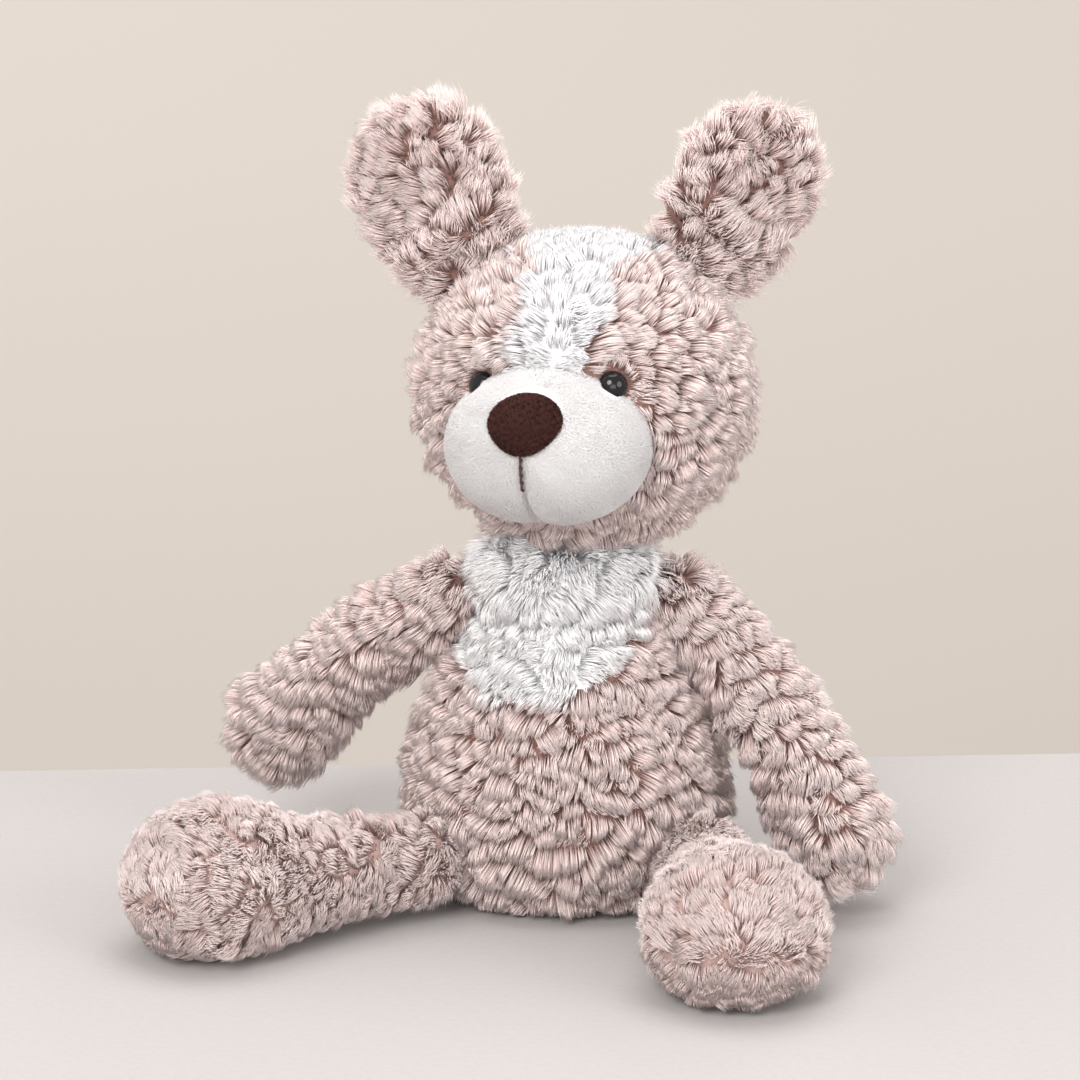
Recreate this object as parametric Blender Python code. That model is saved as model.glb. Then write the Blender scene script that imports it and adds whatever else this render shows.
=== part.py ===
"""Seated plush dog.

The solids are the sewn fabric panels (2.4 mm of backing cloth and matted pile
root), the wadding and bean bags they hold, the safety eyes and their washers.
The long pile stands outside these solids.  Units are metres, +Z is up, the dog
faces -Y and its own left side is +X.  Z = 0 is the surface it sits on.
"""

import math

import bmesh
import bpy
import numpy as np
from mathutils import Vector

# ------------------------------------------------------------------ dimensions
CLOTH = 0.0024            # thickness of a skin panel
SEAM = 0.00022            # half of the gap left at a seam
FILL_GAP = 0.0011         # room between a skin panel and the wadding inside it

# torso: half width against height, from the seat rim to the closed top
TORSO_PROFILE = [
    (0.0400, 0.0009), (0.0500, 0.0056), (0.0557, 0.0170), (0.0570, 0.0320),
    (0.0552, 0.0510), (0.0505, 0.0690), (0.0430, 0.0850), (0.0350, 0.0980),
    (0.0285, 0.1090), (0.0228, 0.1200), (0.0138, 0.1290), (0.0, 0.1320),
]
TORSO_DEPTH = (0.865, 0.95)      # depth / width at the seat and at the top
SEAT_RX, SEAT_RY, SEAT_THICK = 0.0392, 0.0338, 0.0024
CHEST_LOW, CHEST_HIGH = 0.076, 0.1245
CHEST_HALF_WIDTH = 0.0315

# head
HEAD_C = Vector((0.0065, -0.002, 0.1900))
HEAD_R = (0.0585, 0.0510, 0.0545)
HEAD_YAW = math.radians(-12.5)   # turned towards the dog's own right (-X)
CROWN = math.radians(112.0)      # seam between the face and the back of the head
BLAZE_TOP, BLAZE_LOW = 0.0235, 0.0135
NECK_PIVOT = Vector((0.0, 0.0, 0.149))
NECK_PLUG_R = 0.0080

# muzzle, nose, eyes (in the head's own axes: side, forward, up)
MUZZLE_C = (0.0, 0.0460, -0.0115)
MUZZLE_R = (0.0355, 0.0335, 0.0268)
NOSE_DIR_UP = math.radians(24.0)
NOSE_R = (0.0128, 0.0052, 0.0108)
EYE_SIDE, EYE_UP, EYE_R, EYE_DOME = 0.0232, 0.0112, 0.0052, 0.0042
SHANK_R, SHANK_LEN, WASHER_R, WASHER_T = 0.0016, 0.0096, 0.0050, 0.0012

# limbs: pivots, and where the middle of the paw or foot lies
SHOULDER = {"left": Vector((0.0442, 0.002, 0.110)), "right": Vector((-0.0442, 0.002, 0.110))}
PAW = {"left": Vector((0.1020, -0.0275, 0.0275)), "right": Vector((-0.1130, 0.0280, 0.0500))}
ARM_ROOT_R = 0.0125
HIP = {"left": Vector((0.0533, -0.0424, 0.0220)), "right": Vector((-0.0533, -0.0424, 0.0220))}
FOOT = {"left": Vector((0.0665, -0.1235, 0.0250)), "right": Vector((-0.1270, -0.0880, 0.0250))}
LEG_ROOT_R = 0.0135
PLUG_R = 0.0072

TAIL_PIVOT = Vector((0.0, 0.0590, 0.0260))
TAIL_TIP = Vector((0.0, 0.0900, 0.0400))
TAIL_ROOT_R = 0.0082

EAR_LEN = 0.070
EAR_BASE = {"left": Vector((0.0450, 0.004, 0.2310)), "right": Vector((-0.0320, 0.004, 0.2312))}
EAR_MID = {"left": Vector((0.0610, 0.005, 0.2570)), "right": Vector((-0.0500, 0.005, 0.2560))}
EAR_TIP = {"left": Vector((0.0715, 0.003, 0.2880)), "right": Vector((-0.0550, 0.003, 0.2890))}
EAR_FACE = {"left": Vector((0.50, -0.86, 0.0)), "right": Vector((-0.10, -0.99, 0.0))}

MAUVE = (0.52, 0.40, 0.385)
WHITE = (0.82, 0.81, 0.82)
NOSE_BROWN = (0.062, 0.026, 0.022)
BLACK = (0.010, 0.010, 0.011)
WADDING = (0.86, 0.86, 0.84)
BEAN_CLOTH = (0.70, 0.68, 0.64)


# -------------------------------------------------------------------- builders
def clear_scene():
    for ob in list(bpy.data.objects):
        bpy.data.objects.remove(ob, do_unlink=True)


def material(name, colour, rough, metal=0.0):
    mat = bpy.data.materials.new(name)
    mat.use_nodes = True
    bsdf = mat.node_tree.nodes["Principled BSDF"]
    bsdf.inputs["Base Color"].default_value = (*colour, 1.0)
    bsdf.inputs["Roughness"].default_value = rough
    bsdf.inputs["Metallic"].default_value = metal
    mat.diffuse_color = (*colour, 1.0)
    return mat


def pivot_empty(name, at, parent=None):
    ob = bpy.data.objects.new(name, None)
    ob.empty_display_size = 0.01
    bpy.context.scene.collection.objects.link(ob)
    if parent is None:
        ob.location = at
    else:
        ob.parent = parent
        ob.location = Vector(at) - world_of(parent)
    return ob


def world_of(ob):
    at = Vector(ob.location)
    while ob.parent is not None:
        ob = ob.parent
        at = at + Vector(ob.location)
    return at


def add_piece(name, verts, faces, colour, parent, sharp=math.radians(40), hide=False):
    """Make one closed mesh piece; verts are world points, stored about the parent's pivot."""
    base = world_of(parent)
    mesh = bpy.data.meshes.new(name)
    mesh.from_pydata([tuple(Vector(v) - base) for v in verts], [], faces)
    bm = bmesh.new()
    bm.from_mesh(mesh)
    bmesh.ops.remove_doubles(bm, verts=bm.verts, dist=2e-6)
    bmesh.ops.dissolve_degenerate(bm, edges=bm.edges, dist=2e-6)
    bmesh.ops.recalc_face_normals(bm, faces=bm.faces)
    if bm.calc_volume(signed=True) < 0:
        bmesh.ops.reverse_faces(bm, faces=bm.faces)
    bm.to_mesh(mesh)
    bm.free()
    mesh.shade_smooth()
    mesh.set_sharp_from_angle(angle=sharp)
    ob = bpy.data.objects.new(name, mesh)
    if colour is not None:
        ob.data.materials.append(colour)
    ob.parent = parent
    bpy.context.scene.collection.objects.link(ob)
    if hide:
        ob.hide_render = True
        ob.display_type = "WIRE"
    return ob


def cut(ob, cutter):
    mod = ob.modifiers.new("cut_" + cutter.name, "BOOLEAN")
    mod.operation = "DIFFERENCE"
    mod.solver = "EXACT"
    mod.object = cutter


def grid_faces(nu, nv, base, flip, wrap=False):
    out = []
    for i in range(nu - 1):
        for j in range(nv if wrap else nv - 1):
            k = (j + 1) % nv
            a, b, c, d = base + i * nv + j, base + (i + 1) * nv + j, base + (i + 1) * nv + k, base + i * nv + k
            out.append((a, d, c, b) if flip else (a, b, c, d))
    return out


def two_skins(outer, inner):
    """Closed solid between two grids of points with the same layout."""
    nu, nv = len(outer), len(outer[0])
    verts = [p for row in outer for p in row] + [p for row in inner for p in row]
    n = nu * nv
    faces = grid_faces(nu, nv, 0, False) + grid_faces(nu, nv, n, True)
    for i in range(nu - 1):
        for j in (0, nv - 1):
            a, b = i * nv + j, (i + 1) * nv + j
            quad = (a, n + a, n + b, b)
            faces.append(quad if j == 0 else quad[::-1])
    for j in range(nv - 1):
        for i in (0, nu - 1):
            a, b = i * nv + j, i * nv + j + 1
            quad = (a, b, n + b, n + a)
            faces.append(quad if i == 0 else quad[::-1])
    return verts, faces


def closed_of_rings(rings):
    """Closed solid from rings that run all the way round, with point or flat ends."""
    nv = len(rings[0])
    verts = [p for ring in rings for p in ring]
    faces = grid_faces(len(rings), nv, 0, False, wrap=True)
    for i, turn in ((0, False), (len(rings) - 1, True)):
        idx = [i * nv + j for j in range(nv)]
        spread = max((Vector(rings[i][0]) - Vector(p)).length for p in rings[i])
        if spread > 1e-5:
            faces.append(tuple(idx if not turn else idx[::-1]))
    return verts, faces


def smooth_through(points, count):
    """Catmull-Rom samples through control tuples, ends included."""
    pts = np.array(points, float)
    ext = np.vstack([2 * pts[0] - pts[1], pts, 2 * pts[-1] - pts[-2]])
    out = []
    for u in np.linspace(0.0, len(pts) - 1.0, count):
        i = min(int(u), len(pts) - 2)
        t = u - i
        p0, p1, p2, p3 = ext[i], ext[i + 1], ext[i + 2], ext[i + 3]
        out.append(0.5 * ((2 * p1) + (p2 - p0) * t + (2 * p0 - 5 * p1 + 4 * p2 - p3) * t * t
                          + (3 * p1 - p0 - 3 * p2 + p3) * t ** 3))
    return np.array(out)


# ------------------------------------------------------------------ torso shape
def torso_ring(half_width, z, inset=0.0):
    f = min(max(z / 0.132, 0.0), 1.0)
    depth = TORSO_DEPTH[0] * (1 - f) + TORSO_DEPTH[1] * f
    return max(half_width - inset, 0.0), max(half_width * depth - inset, 0.0)


def torso_point(half_width, z, ang, inset=0.0):
    a, b = torso_ring(half_width, z, inset)
    return Vector((a * math.sin(ang), -b * math.cos(ang), z))


def inset_profile(prof, inset):
    """Move a (half width, height) profile inwards along its own normal."""
    out = []
    for i, (r, z) in enumerate(prof):
        p, q = prof[max(i - 1, 0)], prof[min(i + 1, len(prof) - 1)]
        tr, tz = q[0] - p[0], q[1] - p[1]
        ln = math.hypot(tr, tz)
        out.append((max(r - inset * tz / ln, 0.0), z + inset * tr / ln))
    out[-1] = (0.0, prof[-1][1] - inset)
    return out


def chest_half_angle(half_width, z):
    """Half angle of the white chest patch at a height, 0 below it."""
    if z <= CHEST_LOW:
        return 0.0
    t = (z - CHEST_LOW) / (CHEST_HIGH - CHEST_LOW)
    w = CHEST_HALF_WIDTH * min(1.0, math.sqrt(max(0.0, 1 - (1 - min(t * 1.7, 1.0)) ** 2)))
    if t > 0.62:
        w *= 1 - 0.55 * (t - 0.62) / 0.38
    return math.asin(min(w / max(half_width, 1e-4), 0.93))


def build_torso(root, mats):
    n = 16
    prof = [tuple(p) for p in smooth_through(TORSO_PROFILE, n)]
    inner = inset_profile(prof, CLOTH)
    inner[0] = (prof[0][0] - CLOTH, prof[0][1])

    def panel(name, a0, a1, cols, colour, rows=None, x_side=0, y_side=0):
        outer_g, inner_g = [], []
        for i, ((r, z), (ri, zi)) in enumerate(zip(prof, inner)):
            if rows and not rows[0] <= i <= rows[1]:
                continue
            lo, hi = a0(r, z), a1(r, z)
            ro, rn = [], []
            for j in range(cols):
                ang = lo + (hi - lo) * j / (cols - 1)
                for dest, rr, zz in ((ro, r, z), (rn, ri, zi)):
                    p = torso_point(rr, zz, ang)
                    if x_side:
                        p.x = max(p.x * x_side, SEAM) * x_side
                    if y_side:
                        p.y = max(p.y * y_side, SEAM) * y_side
                    dest.append(p)
            outer_g.append(ro)
            inner_g.append(rn)
        verts, faces = two_skins(outer_g, inner_g)
        return add_piece(name, verts, faces, colour, root)

    patch_rows = [i for i, (r, z) in enumerate(prof) if chest_half_angle(r, z) > 0.0]
    first, last = patch_rows[0], n - 3
    side = SEAM * 2.2

    def patch_edge(r, z):
        i = min(range(n), key=lambda k: abs(prof[k][1] - z))
        if i < first or i > last:
            return 0.0
        return chest_half_angle(r, z)

    def clear_of_patch(r, z):
        e = patch_edge(r, z)
        return e + side / max(r, 0.004) if e > 0 else 0.0

    panel("chest_patch", lambda r, z: -patch_edge(r, z), lambda r, z: patch_edge(r, z), 7,
          mats["white"], rows=(first - 1, last + 1))
    for nm, s in (("left", 1), ("right", -1)):
        panel("belly_panel_" + nm,
              lambda r, z, s=s: s * clear_of_patch(r, z), lambda r, z, s=s: s * math.pi / 2, 6,
              mats["mauve"], x_side=s, y_side=-1)
        panel("back_panel_" + nm, lambda r, z, s=s: s * math.pi / 2, lambda r, z, s=s: s * math.pi, 7,
              mats["mauve"], x_side=s, y_side=1)

    # flat round seat panel that the dog rests on
    ring = 28
    rings = []
    for k, (f, z) in enumerate(((1.0, 0.0), (1.0, SEAT_THICK))):
        rings.append([Vector((f * (SEAT_RX - CLOTH * 1.0 - 0.0005) * math.cos(2 * math.pi * j / ring),
                              f * (SEAT_RY - CLOTH * 1.0 - 0.0005) * math.sin(2 * math.pi * j / ring), z))
                      for j in range(ring)])
    verts, faces = closed_of_rings(rings)
    add_piece("seat_panel", verts, faces, mats["mauve"], root, sharp=math.radians(30))

    # bean bag low in the seat, wadding above it
    bag = [(0.0, 0.0042), (0.0170, 0.0046), (0.0290, 0.0062), (0.0350, 0.0105), (0.0330, 0.0165),
           (0.0230, 0.0212), (0.0110, 0.0230), (0.0, 0.0234)]
    rings = [[Vector((r * math.cos(a), 0.86 * r * math.sin(a), z)) for a in
              [2 * math.pi * j / 18 for j in range(18)]] for r, z in bag]
    verts, faces = closed_of_rings(rings)
    add_piece("seat_bean_bag", verts, faces, mats["bean"], root)

    core = inset_profile(prof, CLOTH + FILL_GAP + 0.0020)
    low = [(r, z) for r, z in core if z > 0.027]
    body = [(0.0, 0.0262), (low[0][0] * 0.62, 0.0268)] + low
    rings = []
    for r, z in body:
        a, b = torso_ring(r, z)
        rings.append([Vector((a * math.sin(t), -b * math.cos(t), z)) for t in
                      [2 * math.pi * j / 22 for j in range(22)]])
    verts, faces = closed_of_rings(rings)
    add_piece("torso_wadding", verts, faces, mats["wadding"], root)


# ------------------------------------------------------------------- head shape
def head_axes():
    c, s = math.cos(HEAD_YAW), math.sin(HEAD_YAW)
    side = Vector((c, s, 0.0))
    fwd = Vector((s, -c, 0.0))
    return side, fwd, Vector((0, 0, 1))


def head_to_world(side, fwd, up):
    a, f, u = head_axes()
    return HEAD_C + a * side + f * fwd + u * up


def head_local(alpha, beta, shrink=0.0):
    """alpha runs to the side, beta from the face (0) over the crown (90 deg) to the back."""
    rx, ry, rz = (v - shrink for v in HEAD_R)
    return (rx * math.sin(alpha), ry * math.cos(alpha) * math.cos(beta), rz * math.cos(alpha) * math.sin(beta))


def blaze_half(beta):
    """Half angle of the white blaze, which narrows from the crown to the muzzle."""
    b0, b1 = math.radians(4.0), math.radians(20.0)
    if beta <= b0:
        return 0.0
    if beta < b1:
        w = BLAZE_LOW * (beta - b0) / (b1 - b0)
    else:
        t = (beta - b1) / (CROWN - b1)
        w = BLAZE_LOW + (BLAZE_TOP - BLAZE_LOW) * min(1.0, t * 1.25) ** 1.3
    return math.asin(w / HEAD_R[0])


def build_head(head, neck, mats):
    def crown_clip(p, side):
        """Keep a local point on one side of the crown seam plane."""
        n = (-math.sin(CROWN), math.cos(CROWN))
        d = p[1] * n[0] + p[2] * n[1]
        want = max(d * side, SEAM) * side
        return (p[0], p[1] + (want - d) * n[0], p[2] + (want - d) * n[1])

    def bottom_clip(p, side):
        f = max(p[1] * side, SEAM) * side if p[2] < 0 else p[1]
        return (p[0], f, p[2])

    def panel(name, betas, lo, hi, cols, colour, x_side=0, crown_side=-1, low_side=0):
        og, ig = [], []
        for b in betas:
            ro, rn = [], []
            for j in range(cols):
                al = lo(b) + (hi(b) - lo(b)) * j / (cols - 1)
                for dest, sh in ((ro, 0.0), (rn, CLOTH)):
                    p = head_local(al, b, sh)
                    if x_side:
                        p = (max(p[0] * x_side, SEAM) * x_side, p[1], p[2])
                    p = crown_clip(p, crown_side)
                    if low_side:
                        p = bottom_clip(p, low_side)
                    dest.append(head_to_world(*p))
            og.append(ro)
            ig.append(rn)
        verts, faces = two_skins(og, ig)
        return add_piece(name, verts, faces, colour, head)

    steps = [math.radians(d) for d in (-90, -73, -56, -39, -24, -10, 4, 20, 34, 48, 64, 80, 96, 112)]
    blaze_steps = [b for b in steps if b >= math.radians(4)]
    gap = 2.2 * SEAM / HEAD_R[0]
    panel("blaze_panel", blaze_steps, lambda b: -blaze_half(b), lambda b: blaze_half(b), 5, mats["white"])
    faces_ = {}
    for nm, s in (("left", 1), ("right", -1)):
        faces_[nm] = panel(
            "face_panel_" + nm, steps,
            lambda b, s=s: s * (blaze_half(b) + gap if blaze_half(b) > 0 else 0.0),
            lambda b, s=s: s * math.pi / 2, 7, mats["mauve"], x_side=s, low_side=1)
        back = [math.radians(d) for d in (112, 128, 144, 160, 176, 192, 208, 224, 240, 255, 270)]
        panel("head_back_panel_" + nm, back, lambda b: 0.0, lambda b, s=s: s * math.pi / 2, 7,
              mats["mauve"], x_side=s, crown_side=1, low_side=-1)

    # wadding of the head
    rows, cols = 11, 20
    rings = []
    for i in range(rows):
        th = math.pi * i / (rows - 1)
        k = CLOTH + FILL_GAP + 0.0022
        rx, ry, rz = (v - k for v in HEAD_R)
        rings.append([head_to_world(rx * math.sin(th) * math.cos(2 * math.pi * j / cols),
                                    ry * math.sin(th) * math.sin(2 * math.pi * j / cols),
                                    -rz * math.cos(th)) for j in range(cols)])
    verts, faces = closed_of_rings(rings)
    wad = add_piece("head_wadding", verts, faces, mats["wadding"], head)
    pocket = ball_rings(NECK_PIVOT, NECK_PLUG_R + 0.0009, 8, 14)
    # the pocket is open downwards, so that the plug can be pushed in through the neck
    v, f = closed_of_rings(pocket[:5] + [[NECK_PIVOT + Vector((0.0089 * math.cos(t), 0.0089 * math.sin(t), -0.02))
                                          for t in [2 * math.pi * j / 14 for j in range(14)]]])
    cut(wad, add_piece("neck_pocket_cutter", v, f, None, head, hide=True))
    v, f = closed_of_rings(ball_rings(NECK_PIVOT, NECK_PLUG_R, 8, 12))
    add_piece("neck_plug", v, f, mats["wadding"], neck)

    # ---- muzzle: a dome on the front of the head, in two sewn halves, over its own wadding
    def head_field(p, grow):
        return sum((c / (r + grow)) ** 2 for c, r in zip(p, HEAD_R)) - 1.0

    def muzzle_pt(th, az, shrink):
        """th from the front pole; az round it, measured from the side towards up."""
        rx, ry, rz = (v - shrink for v in MUZZLE_R)
        return (MUZZLE_C[0] + rx * math.sin(th) * math.cos(az),
                MUZZLE_C[1] + ry * math.cos(th),
                MUZZLE_C[2] + rz * math.sin(th) * math.sin(az))

    def rim(az, shrink, grow):
        lo, hi = 0.0, math.pi
        for _ in range(40):
            mid = (lo + hi) / 2
            if head_field(muzzle_pt(mid, az, shrink), grow) > 0:
                lo = mid
            else:
                hi = mid
        return lo

    off_head = 0.0007
    rows, cols = 7, 11
    for nm, s in (("left", 1), ("right", -1)):
        og, ig = [], []
        for i in range(rows):
            ro, rn = [], []
            for j in range(cols):
                az = -math.pi / 2 + math.pi * j / (cols - 1)
                for dest, sh in ((ro, 0.0), (rn, CLOTH)):
                    th = rim(az, sh, off_head) * i / (rows - 1)
                    p = muzzle_pt(th, az, sh)
                    dest.append(head_to_world(s * max(p[0], SEAM), p[1], p[2]))
            og.append(ro)
            ig.append(rn)
        verts, faces = two_skins(og, ig)
        faces_["muzzle_" + nm] = add_piece("muzzle_panel_" + nm, verts, faces, mats["white"], head)

    cols = 20
    sh = CLOTH + 0.0014
    rings = []
    for i in range(6):
        row = []
        for j in range(cols):
            az = 2 * math.pi * j / cols
            row.append(muzzle_pt(rim(az, sh, off_head) * i / 5, az, sh))
        rings.append(row)
    rim_row = rings[-1]
    mid = (sum(p[0] for p in rim_row) / cols, sum(p[2] for p in rim_row) / cols)
    for f in (0.55, 0.0):
        row = []
        for p in rim_row:
            x, z = mid[0] + (p[0] - mid[0]) * f, mid[1] + (p[2] - mid[1]) * f
            g = 1 - (x / (HEAD_R[0] + off_head)) ** 2 - (z / (HEAD_R[2] + off_head)) ** 2
            row.append((x, (HEAD_R[1] + off_head + 0.0004) * math.sqrt(max(g, 0.0)), z))
        rings.append(row)
    verts, faces = closed_of_rings([[head_to_world(*p) for p in row] for row in rings])
    faces_["muzzle_wad"] = add_piece("muzzle_wadding", verts, faces, mats["wadding"], head)

    # ---- nose: a padded rounded triangle that lies on the upper front of the muzzle
    def on_muzzle(x, up, lift):
        rx, ry, rz = (v + lift for v in MUZZLE_R)
        g = 1 - (x / rx) ** 2 - ((up - MUZZLE_C[2]) / rz) ** 2
        return (x, MUZZLE_C[1] + ry * math.sqrt(max(g, 0.0)), up)

    nose_up = MUZZLE_C[2] + MUZZLE_R[2] * math.sin(NOSE_DIR_UP) * 1.02

    def nose_outline(ang):
        x, z = math.cos(ang), math.sin(ang)
        k = 1.0 if z > 0 else 1.0 - 0.30 * (-z) ** 1.2
        return NOSE_R[0] * x * k, NOSE_R[2] * z

    cols = 18
    rings = []
    for f, lift in ((0.0, NOSE_R[1]), (0.36, NOSE_R[1] * 0.95), (0.66, NOSE_R[1] * 0.80), (0.87, NOSE_R[1] * 0.56),
                    (1.0, NOSE_R[1] * 0.26), (0.985, 0.0006), (0.5, 0.0006), (0.0, 0.0006)):
        row = []
        for j in range(cols):
            x, z = nose_outline(2 * math.pi * j / cols)
            row.append(head_to_world(*on_muzzle(x * f, nose_up + z * f, lift)))
        rings.append(row)
    verts, faces = closed_of_rings(rings)
    add_piece("nose_cover", verts, faces, mats["nose"], head)

    # ---- stitched line below the nose
    top, low = nose_up - NOSE_R[2] - 0.0012, nose_up - NOSE_R[2] - 0.0140
    rings = []
    for i in range(9):
        up = top + (low - top) * i / 8
        c = on_muzzle(0.0, up, 0.0012)
        r = 0.00062 if 0 < i < 8 else 0.00030
        rings.append([head_to_world(c[0] + r * math.cos(t), c[1] + r * math.sin(t) * 0.9, c[2]) for t in
                      [2 * math.pi * j / 6 for j in range(6)]])
    verts, faces = closed_of_rings(rings)
    add_piece("philtrum_stitch", verts, faces, mats["nose"], head)

    # ---- eyes: dome, shank through the cloth, washer on the shank inside
    for nm, s in (("left", 1), ("right", -1)):
        g = 1 - (EYE_SIDE / HEAD_R[0]) ** 2 - (EYE_UP / HEAD_R[2]) ** 2
        at = (s * EYE_SIDE, HEAD_R[1] * math.sqrt(g), EYE_UP)
        nrm = Vector((at[0] / HEAD_R[0] ** 2, at[1] / HEAD_R[1] ** 2, at[2] / HEAD_R[2] ** 2)).normalized()
        a, f, u = head_axes()
        axis = (a * nrm.x + f * nrm.y + u * nrm.z).normalized()
        e1 = axis.cross(Vector((0, 0, 1))).normalized()
        e2 = axis.cross(e1).normalized()
        origin = head_to_world(*at)

        def ring(r, h, k):
            return [origin + axis * h + e1 * r * math.cos(t) + e2 * r * math.sin(t) for t in
                    [2 * math.pi * j / k for j in range(k)]]

        lift = 0.0006
        prof = [(0.0, lift + EYE_DOME)] + [(EYE_R * math.sin(t), lift + 0.0008 + (EYE_DOME - 0.0008) * math.cos(t))
                                           for t in [math.pi / 2 * q / 4 for q in range(1, 5)]]
        prof += [(EYE_R, lift), (SHANK_R, lift), (SHANK_R, lift - SHANK_LEN), (0.0, lift - SHANK_LEN - 0.0008)]
        verts, faces = closed_of_rings([ring(r, h, 16) for r, h in prof])
        add_piece("eye_" + nm, verts, faces, mats["black"], head)
        wtop = -CLOTH - 0.0026
        wr = [(SHANK_R + 0.0003, wtop), (WASHER_R, wtop), (WASHER_R, wtop - WASHER_T), (SHANK_R + 0.0003, wtop - WASHER_T)]
        rows = [ring(r, h, 16) for r, h in wr]
        verts = [p for row in rows for p in row]
        faces = []
        for i in range(4):
            for j in range(16):
                k, m = (j + 1) % 16, (i + 1) % 4
                faces.append((i * 16 + j, m * 16 + j, m * 16 + k, i * 16 + k))
        add_piece("eye_washer_" + nm, verts, faces, mats["washer"], head)

        v, f_ = closed_of_rings([ring(SHANK_R + 0.0004, 0.004, 12), ring(SHANK_R + 0.0004, -0.02, 12)])
        hole = add_piece("eye_hole_cutter_" + nm, v, f_, None, head, hide=True)
        cut(faces_[nm], hole)
        v, f_ = closed_of_rings([ring(WASHER_R + 0.0006, 0.004, 16), ring(WASHER_R + 0.0006, -0.0125, 16)])
        well = add_piece("washer_well_cutter_" + nm, v, f_, None, head, hide=True)
        cut(wad, well)
        v, f_ = closed_of_rings([ring(EYE_R + 0.0005, 0.009, 20), ring(EYE_R + 0.0005, -0.006, 20)])
        notch = add_piece("eye_notch_cutter_" + nm, v, f_, None, head, hide=True)
        cut(faces_["muzzle_" + nm], notch)
        cut(faces_["muzzle_wad"], notch)


def ball_rings(centre, radius, rows, cols):
    out = []
    for i in range(rows + 1):
        th = math.pi * i / rows
        out.append([centre + Vector((radius * math.sin(th) * math.cos(t), radius * math.sin(th) * math.sin(t),
                                     radius * math.cos(th))) for t in [2 * math.pi * j / cols for j in range(cols)]])
    return out


# ---------------------------------------------------------------- lofted limbs
class Spine:
    """A smooth bent centre line with a steady cross direction."""

    def __init__(self, points, cross):
        pts = smooth_through([tuple(p) for p in points], 61)
        self.pts = [Vector(p) for p in pts]
        self.len = [0.0]
        for a, b in zip(self.pts, self.pts[1:]):
            self.len.append(self.len[-1] + (b - a).length)
        self.total = self.len[-1]
        self.cross = Vector(cross).normalized()

    def frame(self, s):
        if s <= 0:
            t = (self.pts[1] - self.pts[0]).normalized()
            c = self.pts[0] + t * s
        elif s >= self.total:
            t = (self.pts[-1] - self.pts[-2]).normalized()
            c = self.pts[-1] + t * (s - self.total)
        else:
            i = max(k for k in range(len(self.len)) if self.len[k] <= s)
            i = min(i, len(self.pts) - 2)
            f = (s - self.len[i]) / (self.len[i + 1] - self.len[i])
            c = self.pts[i].lerp(self.pts[i + 1], f)
            t0 = (self.pts[min(i + 1, 60)] - self.pts[max(i - 1, 0)]).normalized()
            t1 = (self.pts[min(i + 2, 60)] - self.pts[i]).normalized()
            t = t0.lerp(t1, f).normalized()
        b = (self.cross - t * self.cross.dot(t)).normalized()
        n = b.cross(t)
        return c, t, n, b


def limb_profile(root_r, stations, tip):
    """(s, ra, rb) from a ball about the pivot, along stations, to a rounded tip."""
    prof = [(-root_r * math.cos(t), root_r * math.sin(t), root_r * math.sin(t))
            for t in [math.radians(d) for d in (0, 28, 54, 80)]]
    prof += stations
    s0, ra, rb, rl = tip
    for d in (0, 26, 50, 71, 90):
        t = math.radians(d)
        prof.append((s0 + rl * math.sin(t), ra * math.cos(t), rb * math.cos(t)))
    return prof


def loft_half(name, spine, prof, side, colour, parent, cols=8, solid=False, cloth=CLOTH):
    og, ig = [], []
    s_lo, s_hi = prof[0][0], prof[-1][0]
    for s, ra, rb in prof:
        ro, rn = [], []
        for j in range(cols):
            t = math.pi * j / (cols - 1)
            c, tan, n, b = spine.frame(s)
            off_b = max(rb * math.sin(t), SEAM)
            ro.append(c + n * (ra * math.cos(t)) + b * (side * off_b))
            if solid:
                rn.append(c + n * (ra * math.cos(t)) + b * (side * SEAM))
            else:
                si = min(max(s, s_lo + cloth), s_hi - cloth)
                c, tan, n, b = spine.frame(si)
                ia, ib = max(ra - cloth, 0.0), max(rb - cloth, 0.0)
                if s in (s_lo, s_hi):
                    ia = ib = 0.0
                rn.append(c + n * (ia * math.cos(t)) + b * (side * max(ib * math.sin(t), SEAM)))
        og.append(ro)
        ig.append(rn)
    verts, faces = two_skins(og, ig)
    return add_piece(name, verts, faces, colour, parent)


def loft_core(name, spine, prof, inset, s_from, s_to, colour, parent, cols=10):
    """Wadding that fills a limb between two stations, clear of its skin by inset."""
    arr = np.array(prof)
    order = np.argsort(arr[:, 0])
    arr = arr[order]
    rings = []
    k = 7
    for i in range(k + 1):
        u = i / k
        s = s_from + (s_to - s_from) * (0.5 - 0.5 * math.cos(math.pi * u))
        ra = float(np.interp(s, arr[:, 0], arr[:, 1])) - inset
        rb = float(np.interp(s, arr[:, 0], arr[:, 2])) - inset
        end = math.sin(math.pi * u) ** 0.42 if 0 < u < 1 else 0.0
        c, tan, n, b = spine.frame(s)
        rings.append([c + n * (ra * end * math.cos(t)) + b * (rb * end * math.sin(t)) for t in
                      [2 * math.pi * j / cols for j in range(cols)]])
    verts, faces = closed_of_rings(rings)
    return add_piece(name, verts, faces, colour, parent)


def arm_spine(nm):
    a, b = SHOULDER[nm], PAW[nm]
    out = Vector((1 if nm == "left" else -1, 0, 0.35)).normalized()
    mid = a.lerp(b, 0.46) + out * 0.0050
    return Spine([a, mid, b], (0.0, -1.0, 0.25))


def arm_profile(reach):
    k = reach / 0.1050
    return limb_profile(ARM_ROOT_R, [(0.014 * k, 0.0133, 0.0133), (0.032 * k, 0.0138, 0.0138),
                                     (0.052 * k, 0.0140, 0.0140), (0.072 * k, 0.0150, 0.0148),
                                     (0.088 * k, 0.0168, 0.0160)],
                        (0.1020 * k, 0.0178, 0.0166, 0.0178))


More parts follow.
